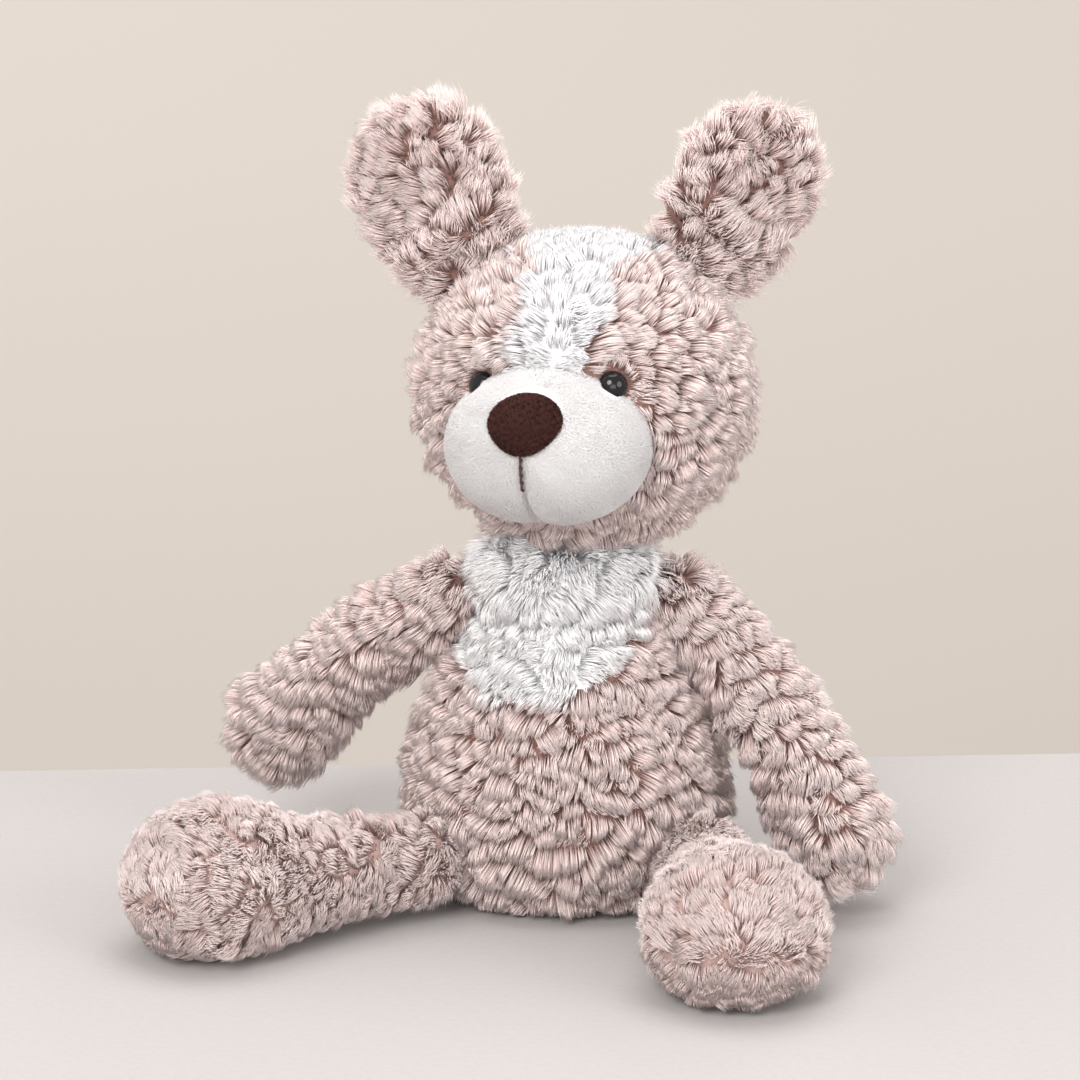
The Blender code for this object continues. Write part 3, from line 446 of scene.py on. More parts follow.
def grow(name, surf, seed, body, *, flow, weight, row, col, length, height, per_mm2, rad, mats, white=None,
         fan=0.06, gather=0.86, stack=0.46, rag=0.00060, scallop=0.0018, yaw=0.27, swirl=0.30, tone=0.0, wisps=0.03, reject=None,
         tone_of=None, length_of=None, curl=0.0006, calm_of=None):
    """Pile in shingle tufts: roots near a tuft's middle lean along the flow and end along its front."""
    rng = np.random.default_rng(seed)
    c, cn, ce = surf.centres(rng, row, col)
    P, N, E = surf.scatter(rng, per_mm2 * DENSITY, weight)
    C = unit(flat_on(flow(c, cn, ce), cn))
    A = np.cross(cn, C)
    turn = rng.normal(0, yaw, len(c))[:, None] + swirl * Waves(seed + 5, 0.034)(c)[:, None]
    C, A = C * np.cos(turn) + A * np.sin(turn), A * np.cos(turn) - C * np.sin(turn)
    own = np.empty(len(P), int)
    size = rng.uniform(0.66, 1.34, len(c))
    for s in range(0, len(P), 3000):
        d = P[s:s + 3000, None] - c[None]
        u, v, w = (d * A[None]).sum(-1), (d * C[None]).sum(-1), (d * cn[None]).sum(-1)
        own[s:s + 3000] = (((u / col) ** 2 + (v / row) ** 2 + (w / (0.7 * col)) ** 2) / size ** 2).argmin(1)
    d = P - c[own]
    u = np.clip(dot(d, A[own])[:, 0], -1.2 * col, 1.2 * col)
    v = np.clip(dot(d, C[own])[:, 0], -1.2 * row, 1.2 * row)
    n = len(P)
    k = len(c)
    t_len = np.clip(rng.normal(1.0, 0.17, k), 0.6, 1.4)
    t_high = np.clip(rng.normal(1.0, 0.22, k), 0.5, 1.45)
    t_tone = rng.normal(0, 0.075, k)
    t_kind = rng.normal(0, 2.2, k)
    t_bend = rng.normal(0, 0.0011, k)
    t_fan = fan + rng.normal(0, 0.13, k)
    Ck = unit(flat_on(C[own], N))
    Ak = np.cross(N, Ck)
    scale = np.ones(n) if length_of is None else length_of(P, N)
    lean, tall = scale if isinstance(scale, tuple) else (scale, scale)
    edge = np.minimum((2 * u / col) ** 2, 1.6)
    calm = np.ones(n) if calm_of is None else calm_of(P, N)
    t_len, t_high = 1 + (t_len[own] - 1) * calm, 1 + (t_high[own] - 1) * calm
    edge, v = edge * calm, v * calm
    phase = rng.random(k)[own]
    lock = np.floor(u / LOCK + phase)
    lock_u = (lock + 0.5 - phase) * LOCK
    pick = (own * 31 + lock.astype(int) * 7919) % 4096
    lf, lh, ll = rng.normal(0, 0.00085, 4096)[pick], rng.normal(0, 0.00035, 4096)[pick], rng.normal(0, 0.00045, 4096)[pick]
    f = (length * t_len - v * gather - scallop * edge + lf + rng.normal(0, rag, n)) * lean
    f = np.maximum(f, 0.22 * length * lean)
    h = (height * t_high - v * stack - 0.0009 * edge + lh + rng.normal(0, rag * 0.5, n)) * tall
    h = np.clip(h, 0.30 * height * tall, 1.62 * height * tall)
    wisp = rng.random(n) < wisps
    f = np.where(wisp, f * 1.15, f)
    h = np.where(wisp, h * 1.22, h)
    lat = (u * t_fan[own] + t_bend[own] + ll - (u - lock_u) * 0.30 * calm) * lean + rng.normal(0, curl * 0.5, n)
    bend = rng.normal(0, curl * 0.35, (n, 1))
    f, h, lat = f[:, None], h[:, None], lat[:, None]

    def shape(k_):
        root = P - N * 0.0006
        p1 = P + N * h * 0.42 * k_ + Ck * f * 0.27 * k_ + Ak * (lat * 0.25 + bend) * k_
        p2 = P + N * h * 0.83 * k_ + Ck * f * 0.64 * k_ + Ak * (lat * 0.65 - bend) * k_
        p3 = P + N * h * 1.00 * k_ + Ck * f * k_ + Ak * lat * k_
        return root, p1, p2, p3

    full = shape(1.0)
    small = shape(0.45)
    bad = blocked(body, full[3]) | blocked(body, full[2])
    pts = [np.where(bad[:, None], s_, f_) for s_, f_ in zip(small, full)]
    keep = ~(bad & (blocked(body, pts[3]) | blocked(body, pts[2]) | blocked(body, P)))
    if reject is not None:
        keep &= ~reject(*pts)
    pts = [p[keep] for p in pts]
    own, N = own[keep], N[keep]
    for i_ in (1, 2, 3):   # nothing goes below the surface that it sits on; a little depth is kept there
        z = pts[i_][:, 2]
        pts[i_][:, 2] = np.where(z < 0.0016, FLOOR + 0.0002 + 0.0010 * np.exp((z - 0.0016) / 0.004), z)
    m = len(own)
    big = Waves(seed + 9, 0.060)(pts[0])
    tn = 0.52 + tone + t_tone[own] + rng.normal(0, 0.085, m) + 0.035 * big
    if tone_of is not None:
        tn += tone_of(pts[0], N)
    kd = np.clip(np.round(7.5 + t_kind[own] + rng.normal(0, 1.8, m)), 0, KINDS - 1)
    r = rad * rng.uniform(0.72, 1.20, m)
    r = np.where(wisp[keep], r * 0.6, r)
    tn = np.clip(tn, 0.0, 0.999)
    STRANDS[0] += m
    made = []
    groups = [("mauve", np.ones(m, bool))] if white is None else None
    if groups is None:
        is_white = white(pts[0] + rng.normal(0, 0.0006, (m, 3)), c[own])
        groups = [("mauve", ~is_white), ("white", is_white)]
    for which, sel in groups:
        if sel.sum() > 3:
            mat, slot, label = mats[which]
            made += strand_mesh(label or name, rng, *[p[sel] for p in pts], r[sel], tn[sel], kd[sel], body, mat, slot)
    return made


# ------------------------------------------------------------------ materials
def nodes_of(name, rough, sheen=0.0, spec=0.35, soft=0.0):
    mat = bpy.data.materials.new(name)
    mat.use_nodes = True
    nt = mat.node_tree
    bsdf = nt.nodes["Principled BSDF"]
    bsdf.inputs["Roughness"].default_value = rough
    bsdf.inputs["Specular IOR Level"].default_value = spec
    bsdf.inputs["Sheen Weight"].default_value = sheen
    if soft:
        bsdf.inputs["Subsurface Weight"].default_value = soft
        bsdf.inputs["Subsurface Radius"].default_value = (1.0, 1.0, 1.0)
        bsdf.inputs["Subsurface Scale"].default_value = 0.0005
    return mat, nt, bsdf


def math_node(nt, op, a, b=None):
    n = nt.nodes.new("ShaderNodeMath")
    n.operation = op
    for k, x in enumerate((a, b)):
        if x is None:
            continue
        if isinstance(x, (int, float)):
            n.inputs[k].default_value = x
        else:
            nt.links.new(x, n.inputs[k])
    return n.outputs[0]


def ramp_node(nt, fac, stops):
    n = nt.nodes.new("ShaderNodeValToRGB")
    while len(n.color_ramp.elements) < len(stops):
        n.color_ramp.elements.new(0.5)
    for e, (pos, col) in zip(n.color_ramp.elements, stops):
        e.position, e.color = pos, (*col, 1)
    nt.links.new(fac, n.inputs[0])
    return n.outputs[0]


def mix_node(nt, kind, fac, a, b):
    n = nt.nodes.new("ShaderNodeMix")
    n.data_type, n.blend_type = "RGBA", kind
    for sock, x in ((n.inputs[0], fac), (n.inputs[6], a), (n.inputs[7], b)):
        if isinstance(x, (int, float)):
            sock.default_value = x
        elif isinstance(x, tuple):
            sock.default_value = (*x, 1)
        else:
            nt.links.new(x, sock)
    return n.outputs[2]


SOFT = 0.6


def pile_material(name, stops, dark, light, warm, cool, rough, sheen=0.0, spec=0.35, soft=SOFT):
    """Strand colour: along its length by the stops, darker or lighter by its column, warmer or cooler by its row."""
    mat, nt, bsdf = nodes_of(name, rough, sheen, spec, soft)
    uv = nt.nodes.new("ShaderNodeUVMap")
    uv.uv_map = "OFBake"
    sep = nt.nodes.new("ShaderNodeSeparateXYZ")
    nt.links.new(uv.outputs[0], sep.inputs[0])
    col = math_node(nt, "DIVIDE", math_node(nt, "FLOOR", math_node(nt, "MULTIPLY", sep.outputs[0], COLS)), COLS - 1)
    vv = math_node(nt, "MULTIPLY", sep.outputs[1], KINDS)
    row = math_node(nt, "DIVIDE", math_node(nt, "FLOOR", vv), KINDS - 1)
    along = math_node(nt, "FRACT", vv)
    base = ramp_node(nt, along, stops)
    shade = ramp_node(nt, col, [(0.0, dark), (1.0, light)])
    hue = ramp_node(nt, row, [(0.0, warm), (1.0, cool)])
    out = mix_node(nt, "MULTIPLY", 1.0, mix_node(nt, "MULTIPLY", 1.0, base, shade), hue)
    nt.links.new(out, bsdf.inputs["Base Color"])
    return mat


def skin_material(name, low, high, scale, rough=0.95, bump=0.35, dist=0.0006, sheen=0.0):
    """Matted pile root: two scales of noise for colour, and a fine bump."""
    mat, nt, bsdf = nodes_of(name, rough, sheen, 0.2)
    co = nt.nodes.new("ShaderNodeTexCoord")
    n1 = nt.nodes.new("ShaderNodeTexNoise")
    n1.inputs["Scale"].default_value = scale
    n1.inputs["Detail"].default_value = 4
    n2 = nt.nodes.new("ShaderNodeTexNoise")
    n2.inputs["Scale"].default_value = scale * 7
    n2.inputs["Detail"].default_value = 3
    for n in (n1, n2):
        nt.links.new(co.outputs["Object"], n.inputs["Vector"])
    fac = math_node(nt, "ADD", math_node(nt, "MULTIPLY", n1.outputs[0], 0.55), math_node(nt, "MULTIPLY", n2.outputs[0], 0.45))
    nt.links.new(ramp_node(nt, fac, [(0.36, low), (0.64, high)]), bsdf.inputs["Base Color"])
    b = nt.nodes.new("ShaderNodeBump")
    b.inputs["Strength"].default_value = bump
    b.inputs["Distance"].default_value = dist
    nt.links.new(n2.outputs[0], b.inputs["Height"])
    nt.links.new(b.outputs[0], bsdf.inputs["Normal"])
    return mat


MAUVE_STOPS = [(0.0, (0.270, 0.136, 0.112)), (0.20, (0.555, 0.372, 0.340)), (0.42, (0.830, 0.668, 0.640)), (1.0, (0.868, 0.752, 0.735))]
LEG_STOPS = [(0.0, (0.425, 0.272, 0.246)), (0.20, (0.580, 0.428, 0.400)), (0.42, (0.665, 0.528, 0.506)), (1.0, (0.685, 0.565, 0.547))]
EAR_STOPS = [(0.0, (0.245, 0.126, 0.104)), (0.20, (0.500, 0.340, 0.314)), (0.42, (0.780, 0.626, 0.600)), (1.0, (0.822, 0.706, 0.688))]
HUES = ((1.03, 0.985, 0.97), (0.975, 0.995, 1.01))
mauve_pile = pile_material("mauve_pile", MAUVE_STOPS, (0.84, 0.80, 0.79), (1.05, 1.05, 1.05), *HUES, 0.85, spec=0.10)
leg_pile = pile_material("leg_pile", LEG_STOPS, (0.87, 0.835, 0.825), (1.04, 1.04, 1.04), *HUES, 0.85, spec=0.08)
ear_pile = pile_material("ear_pile", EAR_STOPS, (0.75, 0.67, 0.655), (1.07, 1.06, 1.06), *HUES, 0.85, spec=0.10)
white_pile = pile_material("white_pile", [(0.0, (0.94, 0.93, 0.935)), (0.30, (0.97, 0.96, 0.965)), (1.0, (0.975, 0.965, 0.972))],
                           (0.94, 0.94, 0.94), (1.02, 1.02, 1.02), (1.0, 0.99, 0.985), (0.985, 0.995, 1.01), 0.85, spec=0.12, soft=0.5)
blaze_pile = pile_material("blaze_pile", [(0.0, (0.83, 0.82, 0.833)), (0.30, (0.852, 0.842, 0.856)), (1.0, (0.857, 0.845, 0.861))],
                           (0.95, 0.95, 0.95), (1.02, 1.02, 1.02), (1.0, 0.99, 0.985), (0.985, 0.995, 1.01), 0.85, spec=0.12, soft=0.5)
muzzle_fuzz_m = pile_material("muzzle_pile", [(0.0, (0.775, 0.762, 0.762)), (1.0, (0.815, 0.803, 0.808))],
                              (0.95, 0.95, 0.95), (1.03, 1.03, 1.03), (1.0, 0.99, 0.985), (0.99, 0.995, 1.0), 0.85, spec=0.10, soft=0.35)
nose_fuzz_m = pile_material("nose_fabric", [(0.0, (0.014, 0.005, 0.004)), (1.0, (0.064, 0.024, 0.020))],
                            (0.45, 0.42, 0.42), (1.7, 1.6, 1.55), (1.05, 0.97, 0.95), (0.95, 1.0, 1.05), 0.9, spec=0.15, soft=0.0)
mauve_skin = skin_material("mauve_skin", (0.125, 0.060, 0.048), (0.250, 0.150, 0.130), 260)
leg_skin_m = skin_material("leg_skin", (0.330, 0.222, 0.200), (0.440, 0.318, 0.292), 260)
white_skin = skin_material("white_skin", (0.86, 0.85, 0.86), (0.94, 0.93, 0.94), 260)
muzzle_skin = skin_material("muzzle_skin", (0.76, 0.75, 0.75), (0.82, 0.81, 0.81), 420, bump=0.15, dist=0.0003)
nose_skin = skin_material("nose_skin", (0.022, 0.008, 0.007), (0.060, 0.026, 0.022), 900, bump=0.6, dist=0.0004)

PLAIN = {"mauve": (mauve_pile, "mauve_pile", None)}


# ------------------------------------------------------------------ the parts
def down_flow(strength):
    def f(c, n, e):
        return unit(e) + strength * -UP
    return f


def skin(name, surf, body, nodes, mat, lift=0.0003, bump=0.0005, seed=1, flat_end=False, white=None):
    P = surf.P + surf.N * (lift + bump * np.clip(Waves(seed, 0.009, 20)(surf.P), -1, 1)[..., None])
    P[..., 2] = np.maximum(P[..., 2], FLOOR)
    ob = ring_mesh(name, P, flat_end)
    ob.data.materials.append(mat)
    if white is not None:
        ob.data.materials.append(white_skin)
        mid = np.zeros(len(ob.data.polygons) * 3, np.float32)
        ob.data.polygons.foreach_get("center", mid)
        mid = mid.reshape(-1, 3).astype(float)
        ob.data.polygons.foreach_set("material_index", white(mid, mid).astype(np.int32))
    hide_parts(*nodes)
    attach(ob, body)
    return ob


# torso
torso = torso_surf()
CHEST_Z = [0.0835, 0.0885, 0.0950, 0.1060, 0.1180, 0.1330]
CHEST_L = [-0.0225, -0.0290, -0.0345, -0.0345, -0.0335, -0.0330]
CHEST_R = [0.0045, 0.0110, 0.0200, 0.0240, 0.0275, 0.0310]


def chest_white(p, c):
    """The chest patch reaches lower on the dog's right side."""
    q = 0.7 * p + 0.3 * c
    z = q[:, 2] + 0.0014 * Waves(61, 0.014)(c)
    x = q[:, 0] + 0.0016 * Waves(62, 0.016)(c)
    return (x > np.interp(z, CHEST_Z, CHEST_L)) & (x < np.interp(z, CHEST_Z, CHEST_R)) & (p[:, 1] < 0) & (z > 0.0828)


skin("torso_skin", torso, "torso", ["chest_patch", "belly_panel_left", "belly_panel_right", "back_panel_left",
                                    "back_panel_right", "seat_panel", "seat_bean_bag", "torso_wadding"],
     mauve_skin, flat_end=True, seed=11, white=chest_white)


def torso_flow(c, n, e):
    """Down, with a slight outward fan; outwards over the shoulders, and forwards below the chin."""
    side = c * np.array((1.0, 1.0, 0.0))
    high = step(0.104, 0.120, c[:, 2:3])
    out = unit(side * np.array((1.3, 1.0, 0.0)))
    return unit(e) * (1 - 0.6 * high) + 0.20 * unit(side) * np.array((1, 0, 0)) + high * (0.8 * out - 0.8 * UP)


def torso_length(P, N):
    high = step(0.104, 0.120, P[:, 2])
    under = step(0.016, 0.006, P[:, 2])
    return (1.0 + 0.25 * high) * (1 - 0.15 * under), 1.0 + 0.25 * high - 0.25 * under


def calm_chest(P, N):
    return np.where(chest_white(P, P), 0.62, 1.0)


grow("torso_pile", torso, 101, "torso", flow=torso_flow, weight=lambda p, n: 1.0 + 0 * p[..., 0],
     row=0.0067, col=0.0080, length=0.0066, height=0.0050, per_mm2=2.5, rad=0.000165, length_of=torso_length, calm_of=calm_chest,
     mats={"mauve": (mauve_pile, "mauve_pile", None), "white": (white_pile, "white_pile", "chest_pile")}, white=chest_white)

# head
head = head_surf()
eye_at, eye_axis = {}, {}
for nm, s in (("left", 1), ("right", -1)):
    g = 1 - (EYE_SIDE / HEAD_R[0]) ** 2 - (EYE_UP / HEAD_R[2]) ** 2
    loc = np.array((s * EYE_SIDE - (0.0 if nm == "left" else 0.0008), HEAD_R[1] * math.sqrt(g), EYE_UP - (0.0006 if nm == "left" else 0.0030)))
    eye_at[nm] = from_head(loc)
    eye_axis[nm] = unit(unit(loc / HEAD_R ** 2) @ HEAD_M)


def muzzle_out(q, grow_):
    return (((q - MUZZLE_C) / (MUZZLE_R + grow_)) ** 2).sum(-1) > 1


def head_weight(p, n):
    q = to_head(p)
    w = np.where((q[..., 1] > 0) & ~muzzle_out(q, 0.0), 0.0, 1.0)
    for k in eye_at:
        d = np.linalg.norm(p - eye_at[k], axis=-1)
        w = np.where(d < EYE_R + 0.0002, 0.0, w)
    return w


def head_flow(c, n, e):
    """Away from the muzzle over the face, and downwards at the sides and back."""
    q = to_head(c)
    back = step(0.012, -0.022, q[:, 1:2])
    top = step(0.020, 0.045, q[:, 2:3]) * (1 - back)
    side_out = np.concatenate([np.sign(q[:, :1]), 0 * q[:, :1], 0 * q[:, :1]], 1) @ HEAD_M
    radial = unit(e)
    d = radial * (1 - back) - UP * (0.80 * (1 - top) + 0.9 * back) + side_out * 0.15 + 0.2 * UP * top
    for k in eye_at:
        away = flat_on(c - eye_at[k], eye_axis[k][None])
        r = np.linalg.norm(away, axis=1, keepdims=True)
        d = d + 1.3 * step(0.011, 0.006, r) * away / np.maximum(r, 1e-6)
    return d


def blaze_white(p, c):
    q = to_head(0.7 * p + 0.3 * c)
    beta = np.degrees(np.arctan2(q[:, 2] / HEAD_R[2], q[:, 1] / HEAD_R[1]))
    lim = np.interp(beta, [0, 20, 42, 58, 78, 104, 110], [0.0120, 0.0118, 0.0122, 0.0145, 0.0225, 0.0240, 0.0]) * (beta > 2)
    mid = np.interp(beta, [10, 30, 50, 75], [0.0, 0.0010, 0.0030, 0.0010])
    return (np.abs(q[:, 0] - mid) < lim + 0.0012 * Waves(63, 0.012)(c)) & (beta > 2) & (beta < 112)


skin("head_skin", head, "head", ["blaze_panel", "face_panel_left", "face_panel_right", "head_back_panel_left",
                                 "head_back_panel_right", "head_wadding", "eye_washer_left", "eye_washer_right"],
     mauve_skin, seed=12, white=blaze_white)


def off_eyes(p0, p1, p2, p3):
    bad = np.zeros(len(p0), bool)
    for k in eye_at:
        for p in (p1, p2, p3):
            d = p - eye_at[k]
            h = d @ eye_axis[k]
            rad = np.linalg.norm(d - h[:, None] * eye_axis[k], axis=1)
            bad |= (rad < EYE_R - 0.0003) & (h > -0.004)
    q = to_head(p3)
    bad |= (q[:, 1] > 0.03) & ~muzzle_out(q, 0.0012) & muzzle_out(to_head(p0), 0.0)
    return bad


def head_length(P, N):
    """Shorter under the chin, round the eyes and next to the muzzle."""
    q = to_head(P)
    s = 1.0 - 0.55 * step(-0.040, -0.050, q[:, 2]) * step(0.026, 0.014, np.hypot(P[:, 0], P[:, 1]))
    near = np.sqrt((((q - MUZZLE_C) / (MUZZLE_R + 0.001)) ** 2).sum(1))
    s *= np.where(q[:, 1] > 0.02, 0.62 + 0.38 * step(1.0, 1.20, near), 1.0)
    for k in eye_at:
        s *= 0.62 + 0.38 * step(EYE_R + 0.001, EYE_R + 0.006, np.linalg.norm(P - eye_at[k], axis=1))
    return s


def calm_blaze(P, N):
    return np.where(blaze_white(P, P), 0.50, 0.95)


grow("head_pile", head, 202, "head", flow=head_flow, weight=head_weight, row=0.0060, col=0.0070, length=0.0062,
     height=0.0050, per_mm2=2.5, rad=0.000160, yaw=0.34, swirl=0.40, calm_of=calm_blaze, length_of=head_length, reject=off_eyes,
     mats={"mauve": (mauve_pile, "mauve_pile", None), "white": (blaze_pile, "white_pile", "blaze_pile")}, white=blaze_white)

# ears
def ear_places(nm):
    """Along, outward (away from the head's middle) and front-facing measures of a point on an ear."""
    base, tip, face = np.array(EAR_BASE[nm]), np.array(EAR_TIP[nm]), unit(EAR_FACE[nm])
    axis = unit(tip - base)
    away = unit(np.cross(axis, face)) * (1 if np.cross(axis, face)[0] * (1 if nm == "left" else -1) > 0 else -1)
    return lambda p: ((p - base) @ axis, (p - base) @ away, axis, away, face)


def crease(nm, p):
    """How deep in the folds of an ear's front a point is: 1 in the bottom of a fold."""
    along, out, *_ = ear_places(nm)(p)
    low = (0.0150 if nm == "left" else 0.0110) - (0.42 if nm == "left" else 0.34) * out
    g = np.exp(-((along - low) / 0.0026) ** 2) * step(0.0200, 0.0120, np.abs(out))
    if nm == "left":
        g = g + 0.7 * np.exp(-((along - 0.0530 - 0.5 * out) / 0.0016) ** 2) * step(0.0120, 0.0060, np.abs(out - 0.003))
    return g


for nm in ("left", "right"):
    sp, prof = ear_parts(nm)
    ear = loft(sp, prof, 110, 96)
    where = ear_places(nm)
    face = unit(EAR_FACE[nm])
    fold = crease(nm, ear.P) * step(0.1, 0.6, ear.N @ face)
    ear = Surf(ear.P - ear.N * (0.0034 * fold)[..., None])
    skin("ear_skin_" + nm, ear, "ear_" + nm, ["ear_front_" + nm, "ear_rear_" + nm], mauve_skin,
         seed=30)

    def ear_flow(c, n, e, where=where):
        along, out, axis, away, face = where(c)
        side = np.clip(out / 0.014, -1.3, 1.3)[:, None]
        return axis[None] + away[None] * side * (0.45 + 0.35 * step(0.9, 1.2, np.abs(side)))

    def ear_tone_and_painted_shade(p, n, where=where, nm=nm):
        along, out, axis, away, face = where(p)
        front = step(0.0, 0.5, n @ face)
        mid = step(0.018, 0.008, np.abs(out)) * step(0.022, 0.036, along) * step(0.066, 0.052, along)
        # Painted shade: strands on the ear's front are darker in its middle, under the rim, and darker still in the
        # bottom of its folds; the small lift everywhere is the ear pile's own tone.
        return 0.05 - 0.30 * front * mid - 0.60 * front * np.clip(crease(nm, p), 0, 1)

    def ear_length(p, n, where=where, nm=nm):
        along, out, axis, away, face = where(p)
        g = np.clip(crease(nm, p), 0, 1) * step(0.0, 0.5, n @ face)
        rim = step(0.35, 0.0, np.abs(n @ face))
        return (1 + 0.22 * rim) * (1 - 0.76 * g), (1 + 0.10 * rim) * (1 - 0.70 * g)

    grow("ear_pile_" + nm, ear, 300 + (nm == "left"), "ear_" + nm, flow=ear_flow, weight=lambda p, n: 1.0 + 0 * p[..., 0],
         row=0.0060, col=0.0068, length=0.0072, height=0.0046, per_mm2=2.8, rad=0.000155, rag=0.0008, yaw=0.46, swirl=0.5, calm_of=lambda P, N: 0.78 + 0 * P[:, 0],
         mats={"mauve": (ear_pile, "mauve_pile", None)}, tone_of=ear_tone_and_painted_shade, wisps=0.08, curl=0.0012, length_of=ear_length)

# arms
def arm_flow_of(nm):
    a, way = np.array(SHOULDER[nm]), unit(np.array(PAW[nm]) - np.array(SHOULDER[nm]))

    def flow(c, n, e):
        root = step(0.032, 0.010, (c - a) @ way)[:, None]
        return unit(e) * (1 - root) + (way * 1.3 - UP * 0.3) * root - UP * 0.25 * (1 - root)
    return flow


for nm in ("left", "right"):
    sp, prof = arm_parts(nm)
    arm = loft(sp, prof)
    skin("arm_skin_" + nm, arm, "arm_" + nm, ["arm_front_" + nm, "arm_rear_" + nm, "arm_wadding_" + nm,
                                              "shoulder_plug_" + nm], mauve_skin, seed=40)
    grow("arm_pile_" + nm, arm, 400 + (nm == "left"), "arm_" + nm, flow=arm_flow_of(nm), weight=lambda p, n: 1.0 + 0 * p[..., 0],
         row=0.0066, col=0.0074, length=0.0074, height=0.0050, per_mm2=2.5, rad=0.000160, mats=PLAIN,
         calm_of=lambda P, N: 0.88 + 0 * P[:, 0])

# legs
for nm in ("left", "right"):
    sp, prof = leg_parts(nm)
    leg = loft(sp, prof)
    skin("leg_skin_" + nm, leg, "leg_" + nm, ["leg_top_" + nm, "leg_sole_" + nm, "leg_wadding_" + nm,
                                              "foot_bean_bag_" + nm, "hip_plug_" + nm], leg_skin_m, seed=50)
    end, way = np.array(FOOT[nm]), unit(np.array(FOOT[nm]) - np.array(HIP[nm]))

    def leg_flow(c, n, e, end=end, way=way, nm=nm):
        """Along the leg; on the foot, away from the seam that runs round it and back over its edge."""
        along = (c - end) @ way
        near = (step(-0.016, 0.000, along) if nm == "left" else step(0.004, 0.018, along))[:, None]
        above = np.sign(c[:, 2:3] - 0.0235)
        return unit(e) * (1 - near) + (UP * above * 1.2 - way * 0.8) * near

    cross = unit(np.cross(way, UP))

    def leg_length(P, N, end=end, way=way, cross=cross):
        near = step(0.004, 0.022, (P - end) @ way)
        wide = step(0.0190, 0.0150, np.abs((P - end) @ cross))
        seam = step(0.0004, 0.0042, np.abs(P[:, 2] - 0.0235))
        under = step(0.010, 0.004, P[:, 2])
        lean = (1 - 0.10 * near) * (1 - 0.78 * near * (1 - seam)) * (1 - 0.3 * under)
        return lean, (1 - 0.30 * near * seam) * (1 - 0.10 * near * wide * (1 - seam)) * (1 - 0.55 * under)

    def leg_tone(P, N, end=end, way=way, cross=cross):
        near = step(0.004, 0.018, (P - end) @ way)
        wide = step(0.0170, 0.0145, np.abs((P - end) @ cross))
        return -0.62 * near * wide * np.exp(-((P[:, 2] - 0.0235) / 0.0010) ** 2)

    def leg_weight(p, n, end=end, way=way, cross=cross):
        near = step(0.004, 0.018, (p - end) @ way)
        wide = np.abs((p - end) @ cross) < 0.0165
        return (1 + 0.5 * near) * (1 - (near > 0.5) * wide * (np.abs(p[..., 2] - 0.0235) < 0.0005))

    def leg_calm(P, N, end=end, way=way):
        return 0.72 - 0.34 * step(0.006, 0.020, (P - end) @ way)

    grow("leg_pile_" + nm, leg, 500 + (nm == "left"), "leg_" + nm, flow=leg_flow, weight=leg_weight,
         row=0.0048, col=0.0062, length=0.0058, height=0.0044, per_mm2=3.0, rad=0.000155, rag=0.0005, yaw=0.45,
         length_of=leg_length, calm_of=leg_calm, tone_of=leg_tone, mats={"mauve": (leg_pile, "mauve_pile", None)}, tone=0.04, scallop=0.0010, stack=0.34)

# tail
sp, prof = tail_parts()
tail = loft(sp, prof, 70, 64)
skin("tail_skin", tail, "tail", ["tail_panel_left", "tail_panel_right", "tail_wadding"], mauve_skin, seed=60)
grow("tail_pile", tail, 600, "tail", flow=down_flow(0.1), weight=lambda p, n: 1.0 + 0 * p[..., 0], row=0.0075, col=0.0090,
     length=0.0078, height=0.0046, per_mm2=2.2, rad=0.00017, mats=PLAIN)


# -------------------------------------------------------------------- muzzle
def muzzle_grid(nr=110, na=160):
    """Dome with a shallow seam from the nose to the chin, and a full cheek on each side of it."""
    th = np.linspace(0.0, math.pi * 0.80, nr)[:, None]
    az = np.linspace(0, 2 * math.pi, na, endpoint=False)[None]
    d = np.stack([np.sin(th) * np.cos(az), np.cos(th) + 0 * az, np.sin(th) * np.sin(az)], -1)
    q = MUZZLE_C + (MUZZLE_R + 0.0005) * d
    x, z = q[..., 0], q[..., 2] - MUZZLE_C[2]
    low = step(0.006, -0.006, z)
    seam = np.exp(-(x / 0.0017) ** 2) * 0.0019 * low + np.exp(-(x / 0.0055) ** 2) * 0.0014 * low
    seam = seam * step(2.45, 2.05, th)
    cheek = 0.0016 * np.exp(-((np.abs(x) - 0.0165) / 0.0115) ** 2 - ((z + 0.0120) / 0.0110) ** 2)
    q = q + d * (cheek - seam)[..., None]
    return q


mg = muzzle_grid()
keep_out = mg.copy()
muzzle = Surf(from_head(mg))
# the back of the dome closes inside the head
back = from_head(np.broadcast_to(MUZZLE_C + (0, -0.018, 0.002), (1, mg.shape[1], 3)))
mz = Surf(np.concatenate([muzzle.P, muzzle.P[-1:] * 0.45 + back * 0.55, back]))
mob = ring_mesh("muzzle_skin", mz.P)
mob.data.materials.append(muzzle_skin)
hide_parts("muzzle_panel_left", "muzzle_panel_right", "muzzle_wadding")
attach(mob, "head")


def muzzle_weight(p, n):
    q = to_head(p)
    w = np.where(((q / (HEAD_R + 0.0006)) ** 2).sum(-1) > 1, 1.0, 0.0)
    nose = ((q[..., 0] / 0.0128) ** 2 + ((q[..., 2] - NOSE_UP) / 0.0106) ** 2) < 1
    w = np.where(nose & (q[..., 1] > MUZZLE_C[1]), 0.0, w)
    for k in eye_at:
        w = np.where(np.linalg.norm(p - eye_at[k], axis=-1) < EYE_R + 0.0006, 0.0, w)
    return w


def muzzle_flow(c, n, e):
    q = to_head(c)
    return unit(e) * 0.6 - UP * 0.5 + np.concatenate([np.sign(q[:, :1]), 0 * q[:, :1], 0 * q[:, :1]], 1) @ HEAD_M * 0.3


